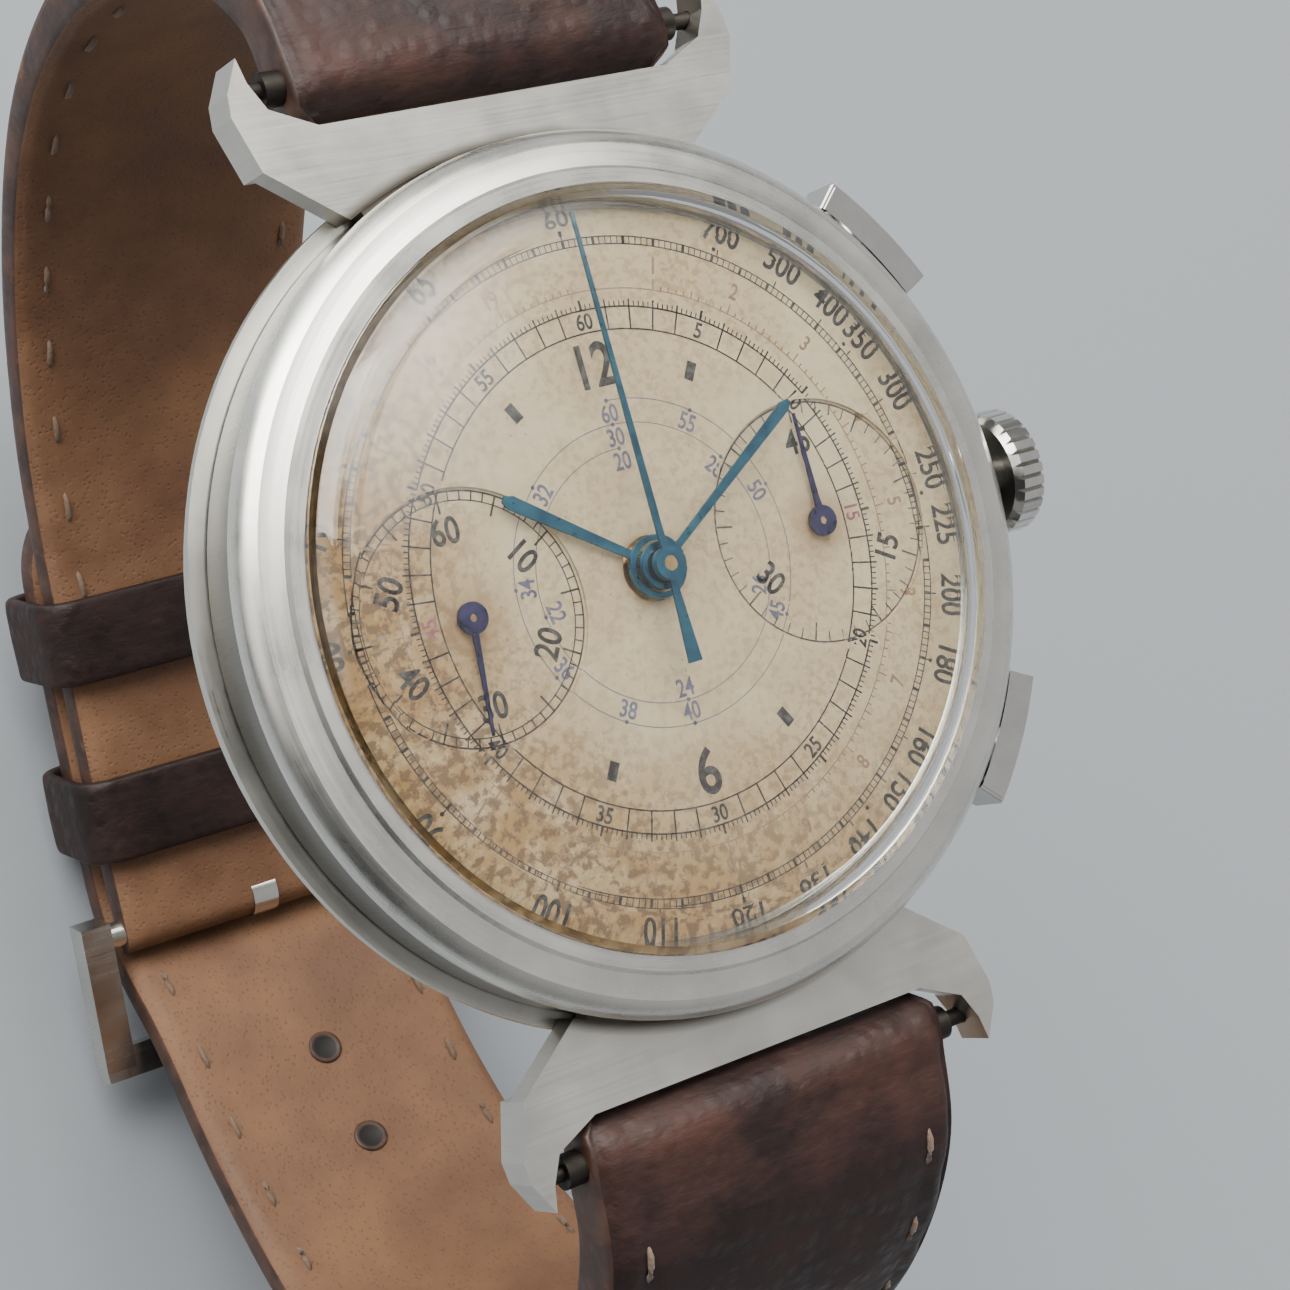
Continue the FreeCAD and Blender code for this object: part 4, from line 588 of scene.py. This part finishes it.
class Printing:
    """Flat printed shapes on the dial. Angles are clock angles in degrees from 12, clockwise."""

    FILM = 0.012
    INKS = ["black", "grey", "tan", "violet", "red"]
    letters = {}

    def __init__(self):
        self.points, self.faces, self.colours = [], [], []

    def add(self, corners, faces, colour):
        start = len(self.points)
        self.points += [(x, y, dial_height(x, y) + self.FILM) for x, y in corners]
        self.faces += [[start + index for index in face] for face in faces]
        self.colours += [self.INKS.index(colour)] * len(faces)

    @staticmethod
    def spot(angle, radius, centre=0.0):
        turn = math.radians(angle)
        return centre + radius * math.sin(turn), radius * math.cos(turn)

    def ring(self, radius, width, colour, centre=0.0, start=0.0, end=360.0):
        fewest, degrees_each = 8, 2
        steps = max(fewest, int((end - start) / degrees_each))
        corners, faces = [], []
        for step in range(steps + 1):
            angle = start + (end - start) * step / steps
            corners.append(self.spot(angle, radius - width / 2, centre))
            corners.append(self.spot(angle, radius + width / 2, centre))
            if step:
                last = 2 * step
                faces.append([last - 2, last, last + 1, last - 1])
        self.add(corners, faces, colour)

    def tick(self, angle, inner, outer, width, colour, centre=0.0):
        turn = math.radians(angle)
        side_x, side_y = math.cos(turn) * width / 2, -math.sin(turn) * width / 2
        corners = []
        for radius in (inner, outer):
            x, y = self.spot(angle, radius, centre)
            corners += [(x - side_x, y - side_y), (x + side_x, y + side_y)]
        self.add(corners, [[0, 1, 3, 2]], colour)

    def dot(self, angle, radius, size, colour, centre=0.0):
        sides = 10
        x, y = self.spot(angle, radius, centre)
        corners = [(x + size * math.cos(turn), y + size * math.sin(turn))
                   for turn in (math.tau * step / sides for step in range(sides))]
        self.add(corners, [list(range(sides))], colour)

    @classmethod
    def letter(cls, text):
        """The flat mesh of a number, centred, one unit tall."""
        if text not in cls.letters:
            curve = bpy.data.curves.new("number", "FONT")
            curve.body = text
            curve.resolution_u = 5
            curve.offset = 0.02
            holder = new_object("number", curve)
            graph = bpy.context.evaluated_depsgraph_get()
            mesh = bpy.data.meshes.new_from_object(holder.evaluated_get(graph))
            corners = [(vertex.co.x, vertex.co.y) for vertex in mesh.vertices]
            faces = [list(polygon.vertices) for polygon in mesh.polygons]
            bpy.data.objects.remove(holder)
            bpy.data.curves.remove(curve)
            bpy.data.meshes.remove(mesh)
            spans = [(min(values), max(values)) for values in zip(*corners)]
            tall = spans[Y][1] - spans[Y][0]
            middle = [(a + b) / 2 for a, b in spans]
            corners = [((x - middle[X]) / tall, (y - middle[Y]) / tall) for x, y in corners]
            cls.letters[text] = (corners, faces)
        return cls.letters[text]

    def number(self, text, angle, radius, tall, colour, centre=0.0, turn=None, narrow=0.85):
        """A number at a clock angle; turn is how far its top leans clockwise, as a clock angle."""
        corners, faces = self.letter(str(text))
        turn = math.radians(angle if turn is None else turn)
        cosine, sine = math.cos(turn), math.sin(turn)
        x0, y0 = self.spot(angle, radius, centre)
        placed = []
        for x, y in corners:
            x, y = x * tall * narrow, y * tall
            placed.append((x0 + x * cosine + y * sine, y0 - x * sine + y * cosine))
        self.add(placed, faces, colour)


def readable(angle):
    """Numbers below the middle stand with their tops towards the centre."""
    return angle + 180 if 90 < angle % 360 < 270 else angle


PER_FIFTH, PER_SECOND = 1.2, 6.0


def print_chain(prints):
    """The outer chain of fifths of a second, with a dot at each five seconds."""
    inner, outer, dots = 12.78, 13.08, 13.32
    for radius in (inner, outer):
        prints.ring(radius, 0.05, "black")
    for fifth in range(300):
        width = 0.045 if fifth % 5 else 0.13
        prints.tick(fifth * PER_FIFTH, inner, outer, width, "black")
    for second in range(0, 60, 5):
        prints.dot(second * PER_SECOND, dots, 0.09, "black")


def print_tachymeter(prints):
    """Speeds of the first minute, round the edge."""
    tick_inner, tick_outer, numbers, tall = 13.12, 13.36, 14.1, 1.02
    for speed in (60, 65, 70, 75, 80, 90, 100, 110, 120, 130, 140, 150, 160, 180, 200, 225, 250, 300, 350,
                  400, 500, 700):
        angle = 3600.0 / speed * PER_SECOND
        prints.tick(angle, tick_inner, tick_outer, 0.06, "black")
        prints.number(speed, angle, numbers, tall, "black", narrow=0.84)


def print_spiral(prints):
    """Slower speeds, on a spiral that winds inwards through two more minutes."""
    start, pitch, line_above, tall = 6.2, 0.95, 0.5, 0.72
    for speed in (60, 55, 50, 45, 40, 38, 36, 34, 32, 30, 28, 26, 24, 22, 20):
        turns = 60.0 / speed - 1.0
        angle = turns * 360.0
        radius = start - pitch * turns
        prints.number(speed, angle, radius, tall, "violet", turn=readable(angle), narrow=0.8)
        prints.dot(angle, radius + line_above, 0.09, "violet")
    for angle in range(0, 2 * 360, 3):
        radius = start + line_above - pitch * angle / 360.0
        prints.ring(radius, 0.035, "violet", start=angle, end=angle + 3)


def print_telemeter(prints):
    """Distances in kilometres, one each three seconds."""
    inner, numbers, tall = 11.02, 12.0, 0.68
    per_kilometre, per_tenth = 18.0, 1.8
    prints.ring(inner, 0.04, "tan")
    for tenth in range(10, 200):
        length = 0.42 if tenth % 10 == 0 else (0.3 if tenth % 5 == 0 else 0.18)
        prints.tick(tenth * per_tenth, inner, inner + length, 0.055, "tan")
    for kilometre in range(1, 20):
        angle = kilometre * per_kilometre
        prints.number(kilometre, angle, numbers, tall, "tan", turn=readable(angle), narrow=0.8)


def print_seconds_ring(prints):
    """A railway of seconds, with fifths outside it and a number each five seconds."""
    inner, outer, tall = 9.41, 10.3, 0.66
    middle = (inner + outer) / 2
    prints.ring(inner, 0.065, "black")
    prints.ring(outer, 0.07, "black")
    for fifth in range(300):
        angle = fifth * PER_FIFTH
        if fifth % 5:
            prints.tick(angle, outer, outer + 0.22, 0.05, "black")
        elif fifth % 25:
            prints.tick(angle, inner, outer + 0.3, 0.07, "black")
        else:
            prints.tick(angle, outer, outer + 0.4, 0.11, "black")
    for second in range(5, 65, 5):
        angle = second * PER_SECOND
        colour = "red" if second in (15, 45) else "black"
        prints.number(second, angle, middle, tall, colour, turn=readable(angle))


def print_hours(prints):
    """Two numbers and four bars."""
    radius, bar_half, bar_width = 8.15, 0.38, 0.42
    prints.number(12, 0.0, radius, 1.78, "black", narrow=0.8)
    prints.number(6, 180.0, radius, 1.9, "black", turn=0.0, narrow=0.86)
    for hour in (1, 5, 7, 11):
        prints.tick(hour * 30.0, radius - bar_half, radius + bar_half, bar_width, "black")


def print_running_seconds(prints):
    """The left subdial, with a number each ten seconds."""
    outer, inner, longer, numbers, tall = 4.86, 4.5, 4.05, 3.4, 1.08
    prints.ring(outer, 0.07, "black", SECONDS_DIAL)
    prints.ring(inner, 0.05, "black", SECONDS_DIAL)
    for second in range(60):
        start, width = (inner, 0.06) if second % 5 else (longer, 0.085)
        prints.tick(second * PER_SECOND, start, outer, width, "black", SECONDS_DIAL)
    for second in range(10, 70, 10):
        angle = second * PER_SECOND
        prints.number(second, angle, numbers, tall, "black", SECONDS_DIAL, readable(angle + 0.001))


def print_counter(prints):
    """The right subdial, which counts 45 minutes."""
    outer, inner, longer, numbers, tall = 4.86, 4.42, 4.1, 3.35, 1.05
    per_minute = 8.0
    prints.ring(outer, 0.07, "grey", COUNTER_DIAL)
    for minute in range(45):
        start, width = (inner, 0.055) if minute % 5 else (longer, 0.08)
        prints.tick(minute * per_minute, start, outer, width, "grey", COUNTER_DIAL)
    for minute in (15, 30, 45):
        angle = minute * per_minute
        prints.number(minute, angle, numbers, tall, "black", COUNTER_DIAL, readable(angle))


def print_dial():
    prints = Printing()
    for draw in (print_chain, print_tachymeter, print_spiral, print_telemeter, print_seconds_ring,
                 print_hours, print_running_seconds, print_counter):
        draw(prints)
    make_piece("dial_printing", prints.points, prints.faces, prints.INKS, "case",
               prints.colours, closed=False)


print_dial()


# ------------------------------ strap

class Line:
    """A smooth line in the YZ plane through given points, measured along its length."""

    PER_SPAN = 24

    def __init__(self, points):
        knots = [Vector(point) for point in points]
        knots = [knots[0] * 2 - knots[1]] + knots + [knots[-1] * 2 - knots[-2]]
        self.places = []
        for index in range(1, len(knots) - 2):
            before, start, end, after = knots[index - 1:index + 3]
            for step in range(self.PER_SPAN):
                self.places.append(self.between(before, start, end, after, step / self.PER_SPAN))
        self.places.append(knots[-2])
        self.reach = [0.0]
        for first, second in zip(self.places, self.places[1:]):
            self.reach.append(self.reach[-1] + (second - first).length)
        self.length = self.reach[-1]

    @staticmethod
    def between(before, start, end, after, share):
        """A point of the span from start to end, with knots spaced by the roots of the distances."""
        t0 = 0.0
        t1 = t0 + (start - before).length ** 0.5
        t2 = t1 + (end - start).length ** 0.5
        t3 = t2 + (after - end).length ** 0.5
        t = t1 + (t2 - t1) * share

        def blend(first, second, t_first, t_second):
            reach = t_second - t_first
            return first * ((t_second - t) / reach) + second * ((t - t_first) / reach)

        a1, a2, a3 = blend(before, start, t0, t1), blend(start, end, t1, t2), blend(end, after, t2, t3)
        return blend(blend(a1, a2, t0, t2), blend(a2, a3, t1, t3), t1, t2)

    def at(self, distance):
        """Place and direction at a distance along the line; it runs on straight past its ends."""
        if distance <= 0:
            along = (self.places[1] - self.places[0]).normalized()
            return self.places[0] + along * distance, along
        if distance >= self.length:
            along = (self.places[-1] - self.places[-2]).normalized()
            return self.places[-1] + along * (distance - self.length), along
        index = next(i for i, reach in enumerate(self.reach) if reach >= distance)
        first, second = self.places[index - 1], self.places[index]
        share = (distance - self.reach[index - 1]) / (self.reach[index] - self.reach[index - 1])
        ahead = self.places[min(index + 1, len(self.places) - 1)]
        behind = self.places[max(index - 2, 0)]
        return first.lerp(second, share), (ahead - behind).normalized()


# where the two halves overlap they lie on parallel straight runs, whose heights are these at Y = 0
RUN_SLOPE = 0.2
INNER_RUN, OUTER_RUN = -39.2, -42.0
TONGUE_SLOT_Y = BUCKLE.y - 4.0


def run_point(base, y):
    return (y, base + RUN_SLOPE * y)


BUCKLE_LINE = Line([(BAR_Y, BAR_Z), (24.8, 3.3), (28.2, -0.9), (30.4, -8.0), (30.4, -16.0), (27.6, -24.0),
                    (22.2, -30.4), (15.5, -35.0), run_point(INNER_RUN, 9.0), run_point(INNER_RUN, 2.0),
                    run_point(INNER_RUN, -4.0), (BUCKLE.y, BUCKLE.z)])
HOLE_LINE = Line([(-BAR_Y, BAR_Z), (-25.2, 3.3), (-30.2, -0.9), (-34.4, -7.6), (-36.3, -16.0), (-35.0, -24.5),
                  (-30.6, -31.6), (-23.5, -37.0), (-16.9, -40.2), (-10.8, -43.7), run_point(OUTER_RUN, -4.0),
                  run_point(OUTER_RUN, 4.0), (13.0, -38.9)])


class Strap:
    """One half of the strap: a padded leather body on a line, thick at the lug, thin at its end.

    Distances run along the line from the spring bar. A place on the section is (side, top): side from
    -1 to 1 across the width, top from -1 on the lining to 1 on the outer face.
    """

    STEP = 0.45
    # half the thickness at the spring bar and at the other end, and how far short of it the round ends stop
    FOLD, END, SHORT_OF_END = 1.84, 1.12, 0.02
    SIDE_GAP, TAPER = 0.14, 0.66
    HOOD_GAP, CORNER_GAP, CORNER_SLOPE = 0.12, 0.2, 2.1
    TIP, THIN_TIP = 6.0, 0.9
    STITCH_INSET = 1.5
    PADDING, SEAM, SEAM_WIDTH, CREASE, WRINKLE, WANDER = 0.16, 0.13, 0.3, 0.16, 0.07, 0.1
    EDGE_BULGE = 0.18

    def __init__(self, name, line, outward, seed, end_shape):
        self.name, self.line, self.outward, self.seed = name, line, outward, seed
        self.end_shape = end_shape

    def half_width(self, distance):
        """Widest between the horns, drawn in to the end, with corners cut for the hood and a round tip."""
        share = min(1.0, 1.6 * max(0.0, distance / self.line.length))
        half = STRAP_WIDTH / 2 - self.SIDE_GAP - self.TAPER * share
        behind_hood = BAR_Y + distance - HOOD_EDGE - self.HOOD_GAP
        half = min(half, HOOD_HALF_WIDTH - self.CORNER_GAP + max(0.0, behind_hood) * self.CORNER_SLOPE)
        left = self.line.length - distance
        if self.end_shape == "point" and left < self.TIP:
            half *= rounded(1 - left / self.TIP, 2.4)
        return half

    def half_height(self, distance):
        """Half the thickness, rounded off at both ends."""
        share = min(1.0, max(0.0, distance / self.line.length) * 2.2)
        height = self.FOLD + (self.END - self.FOLD) * share
        if distance < 0:
            height *= rounded(distance / self.FOLD)
        left = self.line.length - distance
        if self.end_shape == "fold" and left < 0:
            height *= rounded(left / self.END)
        if self.end_shape == "point" and left < self.THIN_TIP:
            height *= 0.55 + 0.45 * left / self.THIN_TIP
        return height

    def at(self, distance):
        """The line's place, the outward direction, and half the width and thickness there."""
        place, along = self.line.at(distance)
        normal = Vector((-along.y, along.x)) * self.outward
        return place, normal, self.half_width(distance), self.half_height(distance)

    def surface(self, distance, side, top):
        """A point of the padded outer face or of the lining, with its creases."""
        place, normal, half, height = self.at(distance)
        rounding = (1 - abs(side) ** 24) ** (1 / 3)
        x = side * half
        lift = top * height * rounding
        if top > 0:
            flat_middle = 1 - min(1.0, abs(side) / 0.78) ** 4
            padding = self.PADDING * flat_middle * min(1.0, distance / 6.0 + 0.4)
            from_seam = (abs(x) - (half - self.STITCH_INSET)) / self.SEAM_WIDTH
            seam = -self.SEAM * math.exp(-(from_seam ** 2))
            lift += (seam - self.PADDING + padding) * top
        spot = Vector((x * 0.16, distance * 0.42, self.seed))
        crease = noise.noise(spot) * self.CREASE + noise.noise(spot * 2.7) * self.WRINKLE
        lift += crease * (0.8 if top > 0 else 0.3) * (0.4 + rounding * 0.6)
        x += noise.noise(Vector((distance * 0.5, self.seed, side))) * self.WANDER
        spot = place + normal * lift
        return Vector((x, spot.x, spot.y))

    def edge_point(self, distance, side, top):
        """A point of the rounded side of the band."""
        place, normal, half, height = self.at(distance)
        bulge = self.EDGE_BULGE * (1 - top * top)
        spot = place + normal * (top * height * 0.8)
        return Vector((side * (half + bulge - self.EDGE_BULGE / 3), spot.x, spot.y))

    @staticmethod
    def section():
        """Places round the section, as (side, top): outer face, edge, lining, edge."""
        half = 14
        across = [math.sin(math.pi / 2 * (step / half - 1)) for step in range(2 * half + 1)]
        down = (0.55, 0.0, -0.55)
        return ([(side, 1.0) for side in across] + [(1.0, top) for top in down]
                + [(side, -1.0) for side in reversed(across)] + [(-1.0, top) for top in reversed(down)])

    def build(self, body, node):
        """The band's mesh, closed at both ends, in place of a CAD node."""
        start = self.SHORT_OF_END - self.FOLD
        end = self.line.length
        if self.end_shape == "fold":
            end += self.END - self.SHORT_OF_END
        stations = int((end - start) / self.STEP)
        ring = self.section()
        count = len(ring)
        points, faces = [], []
        for station in range(stations + 1):
            distance = start + (end - start) * station / stations
            for side, top in ring:
                if abs(top) < 1.0:
                    points.append(self.edge_point(distance, side, top))
                elif abs(side) == 1.0:
                    points.append(self.edge_point(distance, side, 0.85 * top))
                else:
                    points.append(self.surface(distance, side * 0.985, top))
        join_rings(faces, 0, stations + 1, count)
        last = stations * count
        faces += [list(reversed(range(count))), list(range(last, last + count))]
        if self.outward < 0:
            faces = [face[::-1] for face in faces]
        leather, lining, edge = range(3)
        faced = {(1.0, 1.0): leather, (-1.0, -1.0): lining}
        tops = [place[1] for place in ring]
        strips = [faced.get(pair, edge) for pair in zip(tops, tops[1:] + tops[:1])]
        piece = make_piece(self.name, points, faces, ["leather", "lining", "edge"], body,
                           strips * stations + [edge, edge])
        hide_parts(node)

    def stitches(self, body, start, end):
        """Thread along both edges, on the leather and on the lining."""
        pitch, length, radius, steps = 4.2, 1.7, 0.14, 4
        above, sunk = 0.10, 0.20
        points, faces = [], []
        distance = start
        while distance + length < end:
            for side in (-1, 1):
                for top in (1, -1):
                    path = []
                    for step in range(steps + 1):
                        share = step / steps
                        spot_at = distance + length * share
                        normal, half = self.at(spot_at)[1:3]
                        spot = self.surface(spot_at, side * (half - self.STITCH_INSET) / half, top)
                        lift = above - sunk * (2 * share - 1) ** 4
                        path.append(spot + Vector((0, *normal)) * top * lift)
                    add_tube(points, faces, path, radius)
            distance += pitch
        make_piece(self.name + "_stitches", points, faces, ["thread"], body)

    def holes(self, name, body):
        """The row of punched holes in the tail, on both faces, except where the tongue goes through."""
        holes, first, pitch, tongue_room, sides = 7, 7.0, 5.6, 5.0, 20
        rim = ((0.95, -0.15), (0.85, 0.12), (0.70, 0.11), (0.62, 0.06))
        points, faces, looks = [], [], []
        for number in range(holes):
            distance = self.line.length - first - pitch * number
            place, along = self.line.at(distance)
            if abs(place.x - TONGUE_SLOT_Y) < tongue_room:
                continue
            forward = Vector((0, *along))
            for top in (1, -1):
                middle = self.surface(distance, 0.0, top)
                normal = Vector((0, *self.at(distance)[1])) * top
                start = len(points)
                for radius, lift in rim:
                    for step in range(sides):
                        turn = math.tau * step / sides
                        side = Vector((math.cos(turn), 0, 0)) + forward * math.sin(turn)
                        points.append(middle + side * radius + normal * lift)
                join_rings(faces, start, len(rim), sides)
                last = start + (len(rim) - 1) * sides
                faces += [list(range(last, last + sides)), list(reversed(range(start, start + sides)))]
                looks += [0] * (last - start) + [1, 1]
        make_piece(name, points, faces, ["edge", "hole"], body, looks)


def make_straps():
    """Both halves, with stitches that end some way before the buckle and the tip."""
    first_stitch, before_buckle, before_tip = 3.2, 14.0, 5.0
    buckle_half = Strap("strap_upper_leather", BUCKLE_LINE, 1, 3.7, "fold")
    hole_half = Strap("strap_lower_leather", HOLE_LINE, -1, 8.1, "point")
    buckle_half.build("case", "strap_buckle_half")
    hole_half.build("case", "strap_hole_half")
    buckle_half.stitches("case", first_stitch, BUCKLE_LINE.length - before_buckle)
    hole_half.stitches("case", first_stitch, HOLE_LINE.length - before_tip)
    hole_half.holes("strap_holes", "case")


def make_keeper(name, node, body, y):
    """A narrow leather loop with rounded corners and edges round both layers of the strap."""
    half_x, half_z, corner, half_thick, half_wide = 8.57, 3.25, 1.5, 0.38, 2.15
    corner_steps, section_steps, waviness = 8, 24, 0.05
    middle = Vector((0, *run_point((INNER_RUN + OUTER_RUN) / 2, y)))
    along = Vector((0, 1, RUN_SLOPE)).normalized()
    up = Vector((0, -RUN_SLOPE, 1)).normalized()
    path = []
    for x, z, first in ((1, 1, 0), (-1, 1, 90), (-1, -1, 180), (1, -1, 270)):
        for step in range(corner_steps + 1):
            turn = math.radians(first + 90 * step / corner_steps)
            normal = (math.cos(turn), math.sin(turn))
            path.append((x * (half_x - corner) + corner * normal[0],
                         z * (half_z - corner) + corner * normal[1], normal))
    section = []
    for step in range(section_steps):
        turn = math.tau * step / section_steps
        section.append((half_wide * blunt(math.cos(turn), 0.25), half_thick * blunt(math.sin(turn), 0.45)))
    points, faces = [], []
    for x, z, normal in path:
        for wide, thick in section:
            outward = thick + waviness * noise.noise(Vector((x * 0.5, z * 0.5, y + wide)))
            spot = middle + along * wide + up * (z + normal[1] * outward)
            points.append(spot + Vector((x + normal[0] * outward, 0, 0)))
    join_rings(faces, 0, len(path), section_steps, closed=True)
    piece = make_piece(name, points, faces, ["leather"], body)
    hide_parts(node)


make_straps()
make_keeper("sewn_keeper", "keeper_fixed", "case", -4.6)
make_keeper("sliding_keeper", "keeper_free", "keeper_free", 4.6)


# ------------------------------ floor, light and camera

FLOOR_DROP = 0.2
CAMERA_EYE = Vector((-58.8, 0.4, 105.1))
CAMERA_AIM = Vector((-1.1, -2.8, 7.0))
CAMERA_UP = Vector((0.244, 0.963, 0.112))
FIELD_OF_VIEW = 24.78


def looking(eye, aim, up):
    """The transform of something at eye that looks at aim."""
    back = (eye - aim).normalized()
    right = up.cross(back).normalized()
    turned = Matrix((right, back.cross(right), back)).transposed()
    return Matrix.Translation(eye * MM) @ turned.to_4x4()


def add_floor():
    """A pale floor, just under the strap."""
    size = 3000.0
    height = CAD_BOX[0].z / MM - FLOOR_DROP
    mesh = bpy.data.meshes.new("floor")
    corners = [(x * size, y * size, height) for x, y in ((-1, -1), (1, -1), (1, 1), (-1, 1))]
    mesh.from_pydata([Vector(corner) * MM for corner in corners], [], [[0, 1, 2, 3]])
    look = Look("floor", (0.28, 0.302, 0.328), 0.8)
    look.set("Base Color", look.mix(look.noise(9.0, 2.0), (0.27, 0.292, 0.318), (0.29, 0.312, 0.338)))
    mesh.materials.append(look.material)
    new_object("floor", mesh)


class Studio(Look):
    """The room round the watch: dim, with soft-edged panels of light."""

    def __init__(self, colour):
        world = bpy.data.worlds.new("studio")
        world.use_nodes = True
        self.tree = world.node_tree
        self.shader = self.tree.nodes["Background"]
        self.place = self.node("ShaderNodeTexCoord").outputs["Generated"]
        self.light = colour
        bpy.context.scene.world = world

    def combine(self, operation, first, second):
        """Vector arithmetic; for a scale, the second value is a number."""
        inputs = {0: first, "Scale" if operation == "SCALE" else 1: second}
        made = self.node("ShaderNodeVectorMath", inputs, operation=operation)
        return made.outputs["Value" if operation == "DOT_PRODUCT" else "Vector"]

    def panel(self, towards, inner, outer, colour):
        """A round panel of light: full within one angle of its direction and gone past another."""
        near = self.combine("DOT_PRODUCT", self.place, tuple(Vector(towards).normalized()))
        inputs = (near, math.cos(math.radians(outer)), math.cos(math.radians(inner)), 0.0, 1.0)
        share = self.node("ShaderNodeMapRange", inputs, interpolation_type="SMOOTHERSTEP")
        self.light = self.combine("ADD", self.combine("SCALE", colour, share.outputs[0]), self.light)

    def finish(self):
        self.set("Color", self.light)


# each panel's direction, the angles within which it is full and past which it is gone, and its colour;
# the last one takes light away
PANELS = (
    ((0.10, 0.68, 0.72), 10.0, 34.0, (5.2, 5.15, 4.9)),
    ((0.08, 0.42, 0.90), 6.0, 22.0, (5.0, 4.95, 4.8)),
    ((-0.27, 0.74, 0.60), 8.0, 26.0, (3.2, 3.15, 3.0)),
    ((-0.85, 0.17, 0.47), 8.0, 24.0, (1.5, 1.48, 1.42)),
    ((-0.31, 0.94, 0.14), 8.0, 30.0, (2.4, 2.37, 2.3)),
    ((0.60, -0.35, 0.72), 15.0, 70.0, (0.30, 0.30, 0.31)),
    ((-0.95, -0.25, 0.0), 25.0, 70.0, (-0.19, -0.19, -0.19)),
)


def add_key_light():
    """A soft square lamp that faces the watch from its upper left."""
    eye, size = Vector((-220.0, 260.0, 240.0)), 260.0
    data = bpy.data.lights.new("key", "AREA")
    data.shape = "RECTANGLE"
    data.size, data.size_y = size * MM, size * MM
    data.energy = 1.75
    data.color = (1.0, 0.985, 0.95)
    new_object("key", data).matrix_world = looking(eye, Vector((0.0, 0.0, 0.0)), Vector((0.0, 0.3, 1.0)))


def add_stage():
    add_floor()
    add_key_light()
    studio = Studio((0.24, 0.24, 0.245))
    for panel in PANELS:
        studio.panel(*panel)
    studio.finish()


def add_camera():
    """The photograph's viewpoint, without depth of field."""
    data = bpy.data.cameras.new("camera")
    data.sensor_width = 36.0
    data.angle = math.radians(FIELD_OF_VIEW)
    data.clip_start, data.clip_end = 0.005, 10.0
    camera = new_object("camera", data)
    camera.matrix_world = looking(CAMERA_EYE, CAMERA_AIM, CAMERA_UP)
    bpy.context.scene.camera = camera


add_stage()
add_camera()
